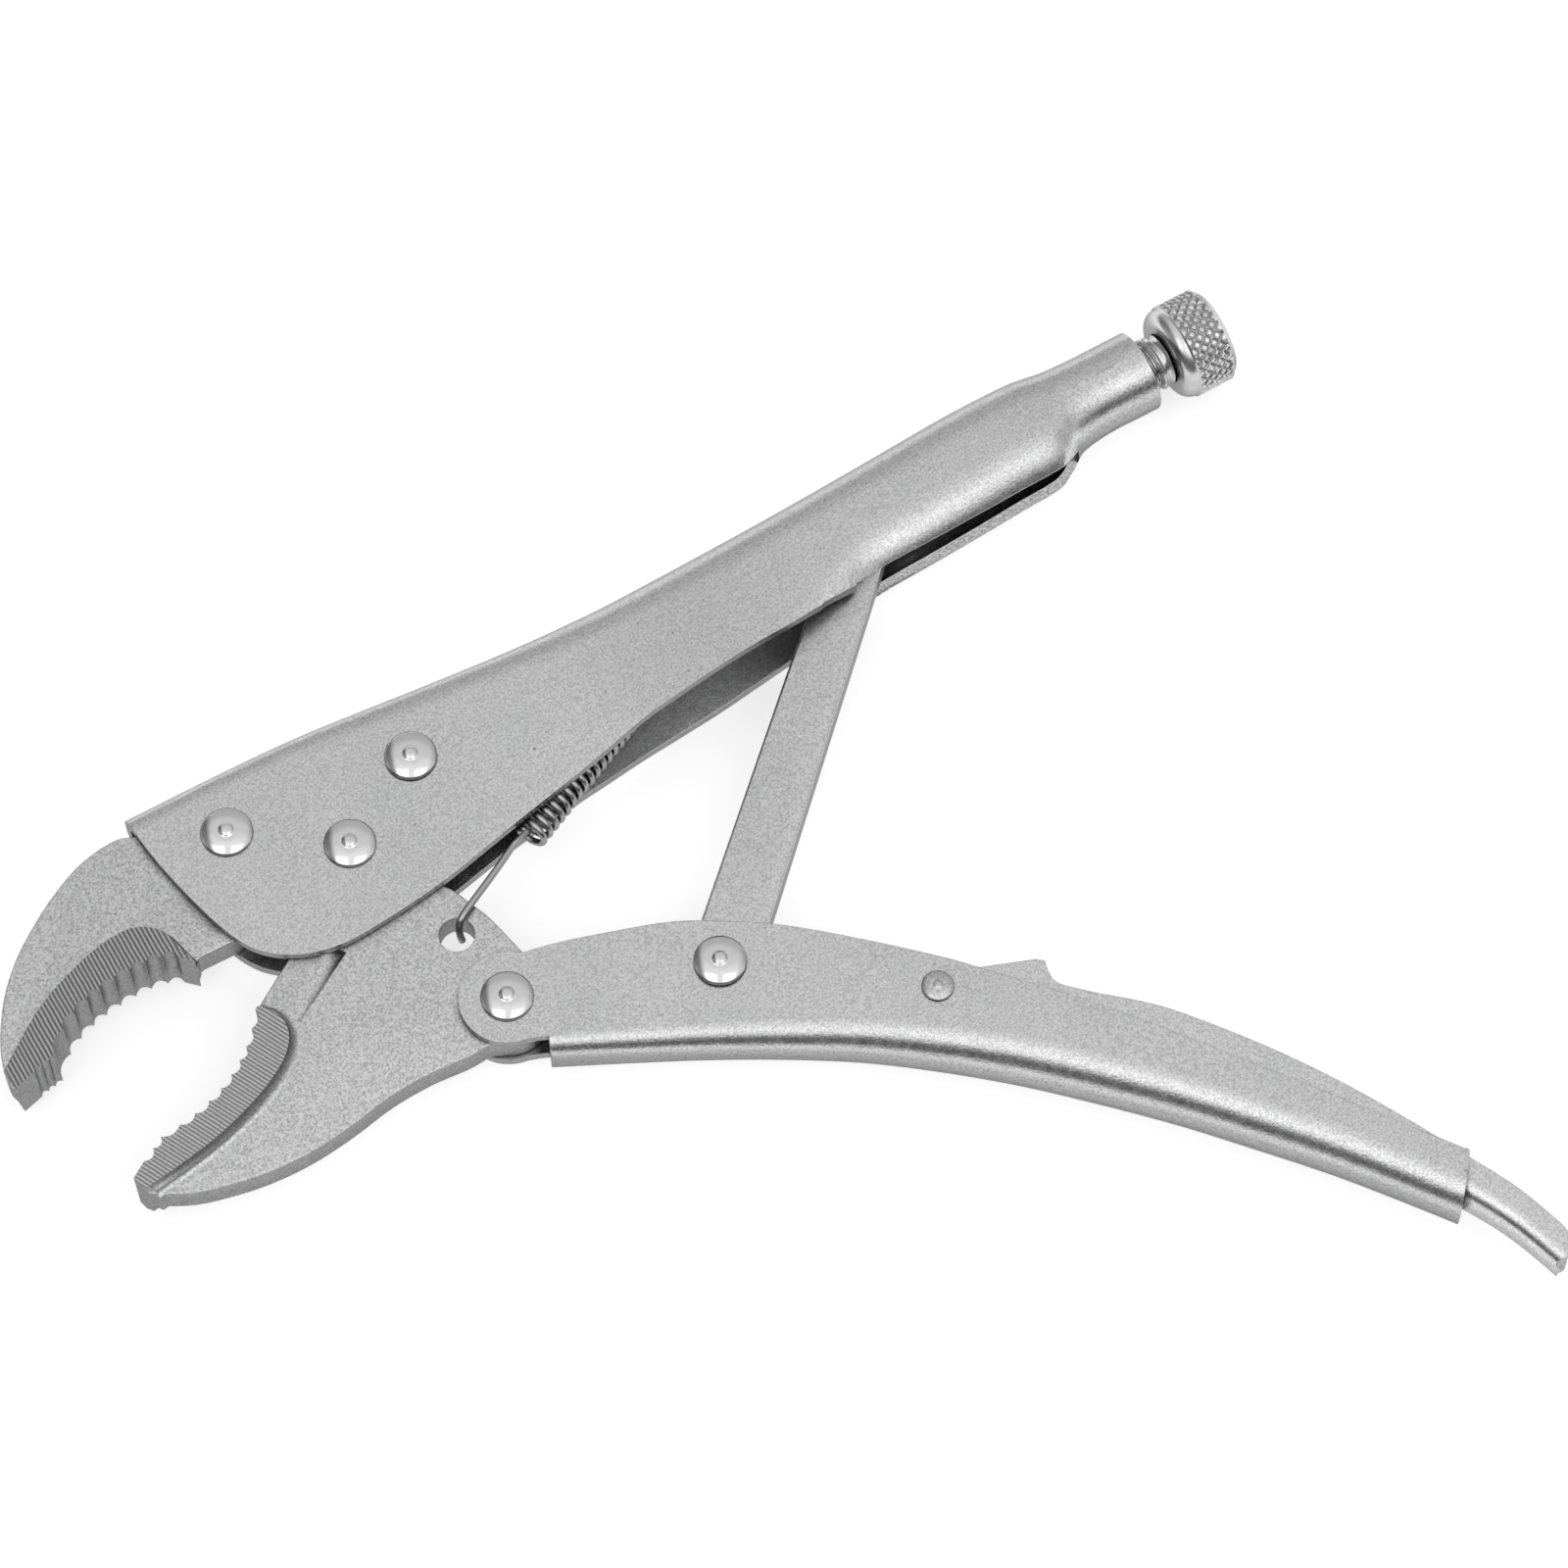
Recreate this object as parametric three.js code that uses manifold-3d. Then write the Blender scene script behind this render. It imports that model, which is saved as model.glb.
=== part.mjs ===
// Locking pliers, 10 inch class, curved jaws, lying flat.
// Millimetres. Drawing frame: main pivot at the origin, +X along the adjusting screw towards its knob,
// +Y towards the fixed handle's spine, +Z across the thickness. The finished group is shifted so that
// its origin is the centre of the bounding box's bottom.
import * as THREE from 'three';
import { mergeVertices } from 'three/addons/utils/BufferGeometryUtils.js';
import Module from 'manifold-3d';

const wasm = await Module();
wasm.setup();

// ---- driving dimensions ----
const SHEET = 1.9;            // pressed steel sheet of both handles
const PLATE_HALF = 3.0;       // half thickness of the jaws and of the toggle link
const GAP_HALF = 3.1;         // half of the clear space between the sheets over the jaws
const EAR_HALF = GAP_HALF + SHEET;
const PAD_HALF = 5.75;        // half width of the toothed pads
const SEAT_GAP = 0.05;        // rivet head to sheet
const HOLE_CLEAR = 0.06;      // rivet hole over rivet shank, on the radius
const SHANK_R = 3.0;
const HEAD_R = 4.5;
const HEAD_RISE = 1.7;
const FLAT_SEAT = 5.0;        // half the span between the heads, over the flat sheets
const REAR_SEAT = 5.25;       // the same where the fixed handle starts to widen
const LINK_SEAT = 5.7;        // the same across the moving handle at the link
const LEVER_SEAT = 6.45;      // the same across the moving handle at the lever
const SLOT_HALF = 4.9;        // slot under the rolled part of the fixed handle
const SCREW_Y = 12.6;         // screw axis above the main pivot
const SCREW_R = 5.0;
const SCREW_PITCH = 1.5;
const THREAD_DEPTH = 0.85;
const SCREW_TIP_X = 117.4;
const TUBE_START_X = 150.5;
const TUBE_END_X = 165.2;
const KNOB_START_X = 170.2;
const KNOB_END_X = 180.7;
const KNOB_R = 8.8;
const LEVER_SHEET = 1.4;
const WIRE_R = 0.62;
const COIL_R = 2.45;          // coil centre-line radius
const COIL_PITCH = 1.75;
const ROUND = 32;             // sides of a hole
const SHAFT_ROUND = 20;       // sides of a shaft

// ---- pivots and spring points, in the drawing frame ----
const MAIN_PIVOT = [0, 0];
const FRONT_RIVET = [-17.2, 12.3];
const REAR_RIVET = [16.7, 9.1];
const HANDLE_PIVOT = [9.6, -37.9];
const LINK_PIVOT = [43.7, -50.4];
const LINK_TOP = [110.8, SCREW_Y];
const LEVER_PIVOT = [73.0, -72.9];
const SPRING_HOLE = [8.0, -23.0];
const SPRING_HOLE_R = 3.1;
const ANCHOR = [72.0, 8.0];
const ANCHOR_HOLE_R = 1.4;
const COIL_START = [27.6, -12.2];
const COIL_LENGTH = 38;

// ---- helpers ----
function solid(geometry) {
  const plain = geometry.clone();
  plain.deleteAttribute('normal');
  plain.deleteAttribute('uv');
  const merged = mergeVertices(plain, 1e-5);
  const position = merged.attributes.position;
  let triangles = Uint32Array.from(merged.index.array);
  if (signedVolume(position, triangles) < 0) {
    triangles = triangles.map((_, i) => triangles[i - (i % 3) + (2 - (i % 3))]);
  }
  const vertProperties = Float32Array.from(position.array);
  return new wasm.Manifold(new wasm.Mesh({ numProp: 3, vertProperties, triVerts: triangles }));
}

function signedVolume(position, triangles) {
  const a = new THREE.Vector3();
  const b = new THREE.Vector3();
  const c = new THREE.Vector3();
  let volume = 0;
  for (let i = 0; i < triangles.length; i += 3) {
    a.fromBufferAttribute(position, triangles[i]);
    b.fromBufferAttribute(position, triangles[i + 1]);
    c.fromBufferAttribute(position, triangles[i + 2]);
    volume += a.dot(b.cross(c)) / 6;
  }
  return volume;
}

function geometryOf(manifold) {
  const mesh = manifold.getMesh();
  const geometry = new THREE.BufferGeometry();
  geometry.setAttribute('position', new THREE.BufferAttribute(mesh.vertProperties, 3));
  geometry.setIndex(new THREE.BufferAttribute(mesh.triVerts, 1));
  return geometry;
}

function surface(vertices, triangles) {
  const geometry = new THREE.BufferGeometry();
  geometry.setAttribute('position', new THREE.BufferAttribute(new Float32Array(vertices.flat()), 3));
  geometry.setIndex(triangles.flat());
  return geometry;
}

// Side quads between rings of equal length, in order.
function sideTriangles(ringCount, size) {
  const triangles = [];
  for (let k = 0; k < ringCount - 1; k += 1) {
    for (let i = 0; i < size; i += 1) {
      const j = (i + 1) % size;
      const a = k * size + i;
      const b = k * size + j;
      triangles.push([a, b, b + size], [a, b + size, a + size]);
    }
  }
  return triangles;
}

// A closed body through rings of 3-D points; the end rings are convex.
function loft(rings) {
  const size = rings[0].length;
  const triangles = sideTriangles(rings.length, size);
  const last = (rings.length - 1) * size;
  for (let i = 1; i < size - 1; i += 1) {
    triangles.push([0, i + 1, i], [last, last + i, last + i + 1]);
  }
  return solid(surface(rings.flat(), triangles));
}

// A closed body through flat outlines of equal length stacked along Z; the outlines may be concave.
function stack(layers) {
  const size = layers[0].outline.length;
  const vertices = layers.flatMap(({ z, outline }) => outline.map(([x, y]) => [x, y, z]));
  const triangles = sideTriangles(layers.length, size);
  const faces = THREE.ShapeUtils.triangulateShape(layers[0].outline.map(([x, y]) => new THREE.Vector2(x, y)), []);
  const last = (layers.length - 1) * size;
  for (const [a, b, c] of faces) {
    triangles.push([a, c, b], [last + a, last + b, last + c]);
  }
  return solid(surface(vertices, triangles));
}

function counterClockwise(outline) {
  const points = outline.map(([x, y]) => new THREE.Vector2(x, y));
  return THREE.ShapeUtils.isClockWise(points) ? outline.slice().reverse() : outline;
}

function prism(outline, low, high) {
  const points = counterClockwise(outline);
  return stack([{ z: low, outline: points }, { z: high, outline: points }]);
}

// A plate with both its edges broken by a small chamfer.
function chamferedPlate(outline, half, chamfer) {
  const points = counterClockwise(outline);
  const inner = inset(points, chamfer);
  return stack([
    { z: -half, outline: inner },
    { z: chamfer - half, outline: points },
    { z: half - chamfer, outline: points },
    { z: half, outline: inner },
  ]);
}

// Moves each point of a counter-clockwise outline inwards by a distance.
function inset(points, distance) {
  const count = points.length;
  return points.map(([x, y], i) => {
    const before = points[(i + count - 1) % count];
    const after = points[(i + 1) % count];
    const first = new THREE.Vector2(x - before[0], y - before[1]).normalize();
    const second = new THREE.Vector2(after[0] - x, after[1] - y).normalize();
    const normal = new THREE.Vector2(-first.y - second.y, first.x + second.x).normalize();
    const stretch = Math.max(0.5, normal.dot(new THREE.Vector2(-first.y, first.x)));
    return [x + (normal.x * distance) / stretch, y + (normal.y * distance) / stretch];
  });
}

function smooth(points, perSpan = 3) {
  const curve = new THREE.SplineCurve(points.map(([x, y]) => new THREE.Vector2(x, y)));
  return curve.getPoints((points.length - 1) * perSpan).map((p) => [p.x, p.y]);
}

function arc([x, y], radius, from, to, steps) {
  return Array.from({ length: steps + 1 }, (_, i) => {
    const angle = THREE.MathUtils.degToRad(from + ((to - from) * i) / steps);
    return [x + radius * Math.cos(angle), y + radius * Math.sin(angle)];
  });
}

function rodZ([x, y], radius, low, high, sides = ROUND) {
  const geometry = new THREE.CylinderGeometry(radius, radius, high - low, sides);
  geometry.rotateX(Math.PI / 2);
  geometry.translate(x, y, (low + high) / 2);
  return solid(geometry);
}

function boreX(radius, from, to) {
  const geometry = new THREE.CylinderGeometry(radius, radius, to - from, ROUND);
  geometry.rotateZ(Math.PI / 2);
  geometry.translate((from + to) / 2, SCREW_Y, 0);
  return solid(geometry);
}

function box([x0, y0, z0], [x1, y1, z1]) {
  const geometry = new THREE.BoxGeometry(x1 - x0, y1 - y0, z1 - z0);
  geometry.translate((x0 + x1) / 2, (y0 + y1) / 2, (z0 + z1) / 2);
  return solid(geometry);
}

function without(body, ...cutters) {
  return cutters.reduce((rest, cutter) => rest.subtract(cutter), body);
}

// Two circles of different radii and their outer tangents.
function tapered([ax, ay], ar, [bx, by], br, steps = 10) {
  const heading = THREE.MathUtils.radToDeg(Math.atan2(by - ay, bx - ax));
  const lean = THREE.MathUtils.radToDeg(Math.asin((ar - br) / Math.hypot(bx - ax, by - ay)));
  const side = 90 - lean;
  return [
    ...arc([bx, by], br, heading - side, heading + side, steps),
    ...arc([ax, ay], ar, heading + side, heading + 360 - side, steps),
  ];
}

// Teeth are scallops between crests: each dip is a shallow curve into the jaw.
function scallops(crests, depth, towards) {
  const points = [];
  for (let i = 0; i < crests.length - 1; i += 1) {
    const [ax, ay] = crests[i];
    const [bx, by] = crests[i + 1];
    const length = Math.hypot(bx - ax, by - ay);
    const nx = (-(by - ay) / length) * towards;
    const ny = ((bx - ax) / length) * towards;
    const dip = Math.min(depth, 0.36 * length);
    for (const [t, part] of [[0, 0], [0.22, 0.68], [0.5, 1], [0.78, 0.68]]) {
      points.push([ax + (bx - ax) * t + nx * dip * part, ay + (by - ay) * t + ny * dip * part]);
    }
  }
  points.push(crests[crests.length - 1]);
  return points;
}

// ---- pressed channels ----
// Stations are [along-curve values...]; a uniform Catmull-Rom curve makes each column smooth.
function sampled(rows, perSpan) {
  const columns = rows[0].length;
  const pairs = [];
  for (let c = 0; c < columns; c += 1) {
    pairs.push(new THREE.SplineCurve(rows.map((row, i) => new THREE.Vector2(i, row[c]))));
  }
  const count = (rows.length - 1) * perSpan;
  return Array.from({ length: count + 1 }, (_, i) => pairs.map((curve) => curve.getPoint(i / count).y));
}

// Ring of a rounded channel section: z across, height measured up from its low side. The upper corners
// are elliptical; the lower ones are arcs that may be wider than the section and then meet in the middle.
function roundedRing({ half, low, high, lowR, highRise, highReach }, place) {
  const steps = 5;
  const sweep = lowR > half ? THREE.MathUtils.radToDeg(Math.acos((lowR - half + 0.05) / lowR)) : 90;
  const near = [
    ...arc([half - lowR, low + lowR], lowR, -sweep, 0, steps),
    ...arc([0, 0], 1, 0, 90, steps).map(([z, up]) => [half - highReach + z * highReach, high - highRise + up * highRise]),
  ];
  const far = near.map(([z, height]) => [-z, height]).reverse();
  return [...near, ...far].map(([z, height]) => place(z, height));
}

// Fixed handle stations: x, spine y, underside y, half width, how much further out the lower edge stands,
// y of that edge, rise and reach of the spine's corners, radius of the lower corners.
const FIXED_STATIONS = [
  [-36, 24.1, -24, 5.0, 0, -14, 4.2, 3.3, 2.5],
  [-14, 23.85, -24, 5.0, 0, -14, 4.4, 3.4, 2.5],
  [1, 23.35, -24, 5.0, 0, -14, 4.8, 3.5, 2.5],
  [14, 22.25, -24, 5.0, 0, -13.4, 5.4, 3.7, 2.5],
  [25, 21.15, -24, 5.15, 0, -11.1, 6.0, 4.0, 2.5],
  [38, 19.7, -24, 6.1, 0, -8.8, 6.5, 4.6, 2.5],
  [46, 19.05, -22, 6.7, 0.6, -7.4, 6.9, 5.2, 2.6],
  [54, 18.65, -19, 7.2, 1.5, -6.0, 7.2, 5.8, 3.0],
  [60, 18.5, -16.5, 7.5, 1.8, -5.3, 7.4, 6.2, 3.6],
  [70, 18.65, -13.5, 7.8, 2.0, -4.3, 7.6, 6.7, 5.0],
  [78, 18.8, -11.5, 8.05, 1.25, -3.5, 7.8, 7.0, 6.4],
  [85, 19.0, -9.8, 8.15, 0.45, -2.9, 7.9, 7.2, 7.8],
  [92, 19.25, -7.6, 8.2, 0, -1.9, 8.0, 7.4, 9.0],
  [98, 19.45, -5.5, 8.3, 0, -1.4, 8.0, 7.4, 10.0],
  [104, 19.7, -3.3, 8.3, 0, -0.8, 8.0, 7.4, 10.0],
  [117, 20.35, -2.5, 8.3, 0, 0, 8.0, 7.4, 10.0],
  [127, 20.9, -1.9, 8.25, 0, 0, 8.0, 7.4, 10.0],
  [134, 21.1, -1.3, 8.2, 0, 0, 8.0, 7.4, 9.9],
  [142, 21.1, -0.7, 7.95, 0, 0, 7.8, 7.4, 9.4],
  [145.5, 20.75, 1.6, 7.75, 0, 0, 7.6, 7.4, 8.4],
  [149, 20.3, 4.2, 7.55, 0, 0, 7.5, 7.45, 7.5],
  [155, 20.05, 5.15, 7.46, 0, 0, 7.45, 7.45, 7.45],
  [162, 20.05, 5.15, 7.46, 0, 0, 7.45, 7.45, 7.45],
  [170, 20.05, 5.15, 7.46, 0, 0, 7.45, 7.45, 7.45],
];

function fixedChannel(shrink, untilX) {
  const rows = sampled(FIXED_STATIONS, 2).filter((row) => row[0] <= untilX);
  return loft(rows.map(([x, high, low, half, flare, edge, highRise, highReach, lowR]) => {
    const section = {
      half: half - shrink,
      low: low + shrink,
      high: high - shrink,
      lowR: lowR - shrink,
      highRise: highRise - shrink,
      highReach: highReach - shrink,
    };
    const splay = (height) => (flare * (high - height)) / (high - edge);
    return roundedRing(section, (z, height) => [x, height, z + Math.sign(z) * splay(height)]);
  }));
}

// The side outline that the fixed handle's folded sheet was cut to.
function fixedOutline() {
  const front = smooth([
    [-31.0, 24], [-30.3, 15.5], [-28.6, 6.5], [-26.2, -2.5], [-23.6, -8.2],
    [-20, -11.9], [-15.2, -14.4], [-9, -15.6], [-1, -15.3], [8.2, -14.3], [14, -13.3], [25, -11.0],
    [38, -8.75], [46, -7.4], [54, -6.0], [60, -5.3], [70, -4.3], [78, -3.5], [85, -2.95], [91.6, -2.2],
  ]);
  return [[-31.0, 30], ...front, [92.2, -1.95], [98, -1.4], [104, -0.8], [104.5, -6], [TUBE_END_X, -6], [TUBE_END_X, 30]];
}

function anchorTab() {
  const [x, y] = ANCHOR;
  const tab = prism([[x - 3.4, y - 2.9], [x + 2.4, y - 2.9], [x + 3.6, 17.6], [x - 3.4, 17.6]], -0.95, 0.95);
  return tab.subtract(rodZ(ANCHOR, ANCHOR_HOLE_R, -2, 2, 16));
}

// The slot's sides are square to the curled sheet, so the cutter narrows upwards.
function slotWedge() {
  const half = [[SLOT_HALF - 3, 4], [SLOT_HALF, 0.3], [SLOT_HALF + 4.8, -5]];
  const sides = [...half.map(([z, y]) => [-z, y]).reverse(), ...half];
  const at = (x) => sides.map(([z, y]) => [x, y, z]);
  return loft([at(99), at(147)]);
}

function fixedHandle() {
  const outer = fixedChannel(0, 170);
  const cavity = fixedChannel(SHEET, TUBE_START_X);
  const clip = prism(fixedOutline(), -20, 20);
  const slot = slotWedge();
  const bore = boreX(SCREW_R + HOLE_CLEAR + 0.02, 140, 180);
  const holes = [FRONT_RIVET, REAR_RIVET, MAIN_PIVOT].map((at) => rodZ(at, SHANK_R + HOLE_CLEAR, -12, 12));
  return without(outer, cavity, bore, slot, ...holes).intersect(clip).add(anchorTab());
}

// Moving handle stations: x and y of the closed underside, half width, corner radius.
const MOVING_STATIONS = [
  [4.7, -47.0, 5.07, 3.4],
  [10.6, -50.0, 5.08, 3.4],
  [22.4, -56.1, 5.13, 3.8],
  [34.1, -62.3, 5.27, 4.3],
  [45.6, -68.9, 5.5, 4.8],
  [56.8, -76.0, 5.95, 5.3],
  [67.4, -84.1, 6.35, 5.8],
  [77.6, -92.9, 6.6, 6.2],
  [87.3, -102.3, 6.7, 6.3],
  [96.8, -112.1, 6.7, 6.3],
  [105.9, -122.4, 6.7, 6.2],
  [114.8, -132.9, 6.6, 6.1],
  [123.3, -144.0, 6.45, 5.9],
  [133.0, -157.3, 6.3, 5.8],
];

// A trough whose closed side follows the stations; tall enough to be trimmed by a side outline.
// A cavity reaches past both ends of its trough.
function trough(stations, shrink, tall, reach = 0) {
  const rows = sampled(stations, 2);
  const last = rows.length - 1;
  for (const [end, next] of [[0, 1], [last, last - 1]]) {
    const outwards = new THREE.Vector2(rows[end][0] - rows[next][0], rows[end][1] - rows[next][1]).setLength(reach);
    rows[end] = [rows[end][0] + outwards.x, rows[end][1] + outwards.y, ...rows[end].slice(2)];
  }
  const rings = rows.map(([x, y, half, radius], i) => {
    const before = rows[Math.max(0, i - 1)];
    const after = rows[Math.min(rows.length - 1, i + 1)];
    const heading = new THREE.Vector2(after[0] - before[0], after[1] - before[1]).normalize();
    const section = {
      half: half - shrink, low: shrink, high: tall, lowR: radius - shrink, highRise: 0.2, highReach: 0.2,
    };
    return roundedRing(section, (z, height) => [
      x - heading.y * height,
      y + heading.x * height,
      z,
    ]);
  });
  return loft(rings);
}

function movingTopEdge() {
  return smooth([
    [20.2, -33.1], [26.6, -35.0], [39.4, -39.5], [47.4, -43.9], [56.4, -50.1], [66.3, -58.9],
    [76.1, -68.4], [81.4, -74.2], [92.4, -86.6], [99.8, -95.7], [107.7, -106.1], [116.1, -117.3],
    [124.4, -128.6], [134.0, -141.6],
  ]);
}

function movingOutline() {
  const end = smooth([[134.0, -141.6], [134.3, -142.6], [131.2, -146.6], [128.0, -150.4]]);
  return [
    [11.3, -60], [11.3, -49.6], [17.3, -37.0], [18.8, -33.6], ...movingTopEdge(), ...end.slice(1), [124, -156], [60, -96],
  ];
}

function earOutline() {
  return [
    ...arc(HANDLE_PIVOT, 8.3, 44, 262, 18),
    [10.8, -46.9], [14.5, -48.6], [24, -51], [30, -46], [30, -38], [26.6, -35.0], [20.2, -33.1],
  ];
}

function movingHandle() {
  const outer = trough(MOVING_STATIONS, 0, 40);
  const cavity = trough(MOVING_STATIONS, SHEET, 45, 1);
  const back = outer.subtract(cavity).intersect(prism(movingOutline(), -20, 20));
  const ears = prism(earOutline(), -EAR_HALF, EAR_HALF).subtract(
    box([-20, -90, -GAP_HALF], [60, 0, GAP_HALF]),
  );
  const holes = [HANDLE_PIVOT, LINK_PIVOT].map((at) => rodZ(at, SHANK_R + HOLE_CLEAR, -12, 12));
  const leverHole = rodZ(LEVER_PIVOT, 2 + HOLE_CLEAR, -12, 12);
  return without(back.add(ears), ...holes, leverHole);
}

// ---- release lever: a narrower trough lying inside the moving handle ----
const LEVER_STATIONS = [
  [61.0, -73.2, 3.75, 2.6],
  [70.5, -81.1, 3.95, 2.8],
  [79.6, -89.4, 4.2, 3.0],
  [89.3, -98.9, 4.35, 3.2],
  [98.8, -108.8, 4.4, 3.3],
  [107.9, -119.2, 4.4, 3.3],
  [116.9, -129.9, 4.35, 3.3],
  [125.4, -141.1, 4.3, 3.2],
  [130.6, -149.4, 4.25, 3.2],
  [134.6, -158.0, 4.0, 3.0],
  [138.2, -170.0, 3.8, 2.8],
];

function leverOutline() {
  const bump = [[64.5, -68.6], [73.5, -68.9], [78.2, -70.6], [81.2, -72.6], [90.3, -76.2], [91.5, -77.2]];
  const step = smooth([[91.5, -77.2], [91.0, -79.3], [91.1, -81.4], [92.9, -83.6], [96.3, -86.9]], 3);
  const rail = smooth([[96.3, -86.9], [101.9, -91.9], [106.6, -97.0], [115.0, -108.2], [122.8, -120.3],
    [129.8, -133.2], [134.3, -142.5], [138.6, -151.5], [141.4, -160.2]], 3);
  const tip = smooth([[141.4, -160.2], [141.5, -163.0], [139.6, -165.4], [137.3, -165.2]], 3);
  const under = [[136, -175], [60, -110], [70.5, -77.4], [66.5, -75.4], [61.8, -72]];
  return [...bump, ...step.slice(1), ...rail.slice(1), ...tip.slice(1), ...under];
}

function releaseLever() {
  const outer = trough(LEVER_STATIONS, 0, 40);
  const cavity = trough(LEVER_STATIONS, LEVER_SHEET, 45, 1);
  return outer.subtract(cavity)
    .intersect(prism(leverOutline(), -20, 20))
    .subtract(rodZ(LEVER_PIVOT, 2 + HOLE_CLEAR, -12, 12));
}

// ---- jaws ----
const UPPER_CRESTS = [
  [-65.4, -10.5], [-64.0, -10.25], [-62.6, -10.1], [-61.1, -9.8], [-57.7, -6.1], [-54.8, -4.5], [-51.9, -3.5],
  [-49.2, -2.9], [-46.3, -2.5], [-43.3, -2.3], [-40.4, -2.4], [-37.5, -2.9], [-35.0, -4.1],
];
const LOWER_CRESTS = [
  [-28.2, -19.0], [-30.4, -21.8], [-32.7, -24.2], [-34.8, -25.8], [-37.2, -27.4], [-39.8, -28.7],
  [-42.6, -29.7], [-45.6, -30.5], [-48.8, -31.0], [-52.5, -31.3], [-54.6, -32.5], [-56.9, -33.8],
];
const TOOTH_DEPTH = 1.0;

// A toothed pad standing proud of both faces of the jaw plate, with a concave fillet along its back.
function pad(backLine, toothLine, flare) {
  const rise = PAD_HALF - PLATE_HALF;
  const levels = [[0, 1], [0.12, 0.62], [0.35, 0.3], [0.65, 0.1], [1, 0]];
  const layers = levels.map(([up, out]) => ({ z: PLATE_HALF + rise * up, out: out * flare }));
  const below = layers.slice().reverse().map(({ z, out }) => ({ z: -z, out }));
  const outlineAt = (out) => {
    const moved = inset([...backLine], -out).slice(1, -1);
    return [backLine[0], ...moved, backLine[backLine.length - 1], ...toothLine];
  };
  return stack([...below, ...layers].map(({ z, out }) => ({ z, outline: outlineAt(out) })));
}

function upperJaw() {
  const teeth = scallops(UPPER_CRESTS, TOOTH_DEPTH, 1);
  const back = smooth([[-20, 19.9], [-28, 19.9], [-31, 20.5], [-33.5, 21.4], [-37.5, 21.3], [-41.9, 20.3], [-46.8, 18.2],
    [-52.3, 15.0], [-58.1, 10.8], [-62.8, 6.1], [-66.2, 1.2], [-68.4, -3.0], [-69.6, -6.6], [-70.0, -9.2],
    [-69.2, -11.5]]);
  const tang = [[23.2, 16.8], [15.5, 17.9], [1, 19.0], [-14, 19.7]];
  const hub = arc(MAIN_PIVOT, 11.2, 187, 20, 20);
  const rear = [[20.5, 3.2], [24.2, 6.5], [24.9, 12.5]];
  const outline = [
    ...tang, ...back, ...teeth, [-32.9, -6.2], [-32.2, -5.2], [-31.2, -5.0], [-24.7, -5.2], ...hub, ...rear,
  ];
  const padBack = smooth([[-32.9, -6.2], [-34.0, -2.4], [-34.7, 0.4], [-35.9, 2.3], [-38.4, 4.1], [-41.8, 4.7],
    [-47.1, 4.0], [-53.1, 2.1], [-59.3, -0.6], [-66.0, -5.2], [-69.5, -7.8]], 2);
  const toothed = pad(padBack, [[-69.2, -11.5], ...teeth], 1.0);
  const holes = [FRONT_RIVET, REAR_RIVET].map((at) => rodZ(at, SHANK_R + HOLE_CLEAR, -12, 12));
  return without(chamferedPlate(outline, PLATE_HALF, 0.25).add(toothed), ...holes);
}

function lowerJaw() {
  const teeth = scallops(LOWER_CRESTS, TOOTH_DEPTH * 0.8, 1);
  const hub = arc(MAIN_PIVOT, 10.7, -40, 210, 26);
  const neck = [[-19.2, -12.9], [-27.3, -17.9]];
  const tip = [[-59.8, -35.6], [-59.4, -37.2], [-58.0, -38.8]];
  const bottom = smooth([[-58.0, -38.8], [-52.4, -41.8], [-46, -43.7], [-39.2, -44.9], [-31.9, -45.2],
    [-24, -44.5], [-15.7, -43.1], [-8.1, -42.8], [-1, -43.4], [3, -43.2]]);
  const tail = arc(HANDLE_PIVOT, 7.6, 240, 355, 12);
  const back = [[16.9, -34.5], [16.0, -30.6], [14.4, -23.2], [12.6, -18.4], [11.2, -15.0], [9.0, -12.4]];
  const outline = [...hub, ...neck, ...teeth, ...tip, ...bottom.slice(1), ...tail, ...back];
  const padBack = smooth([[-58.6, -38.2], [-51.3, -37.2], [-45.9, -36.3], [-40.1, -34.8], [-34.1, -32.6],
    [-28.8, -29.7], [-25.8, -26.6], [-25.0, -23.6], [-25.7, -20.8], [-27.6, -18.7]], 2);
  const toothed = pad(padBack, [...teeth, [-59.8, -35.6], [-59.4, -37.2]], 1.8);
  const groove = [-1, 1].map((side) => solid(new THREE.CylinderGeometry(2.4, 1.75, 14.6, 16)
    .rotateZ(THREE.MathUtils.degToRad(-56.3))
    .translate(-16.8, -19.06, side * (PLATE_HALF + 1.6))));
  return without(
    chamferedPlate(outline, PLATE_HALF, 0.25).add(toothed),
    rodZ(MAIN_PIVOT, SHANK_R + HOLE_CLEAR, -12, 12),
    rodZ(HANDLE_PIVOT, SHANK_R + HOLE_CLEAR, -12, 12),
    rodZ(SPRING_HOLE, SPRING_HOLE_R, -12, 12),
    ...groove,
  );
}

function toggleLink() {
  const outline = tapered(LINK_PIVOT, 5.75, LINK_TOP, 4.7, 12);
  return chamferedPlate(outline, PLATE_HALF, 0.6).subtract(rodZ(LINK_PIVOT, SHANK_R + HOLE_CLEAR, -12, 12));
}

// ---- turned pieces ----
function turnedX(profile, sides) {
  const geometry = new THREE.LatheGeometry(profile.map(([r, x]) => new THREE.Vector2(r, x)), sides);
  geometry.rotateZ(-Math.PI / 2);
  geometry.translate(0, SCREW_Y, 0);
  return solid(geometry);
}

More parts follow.
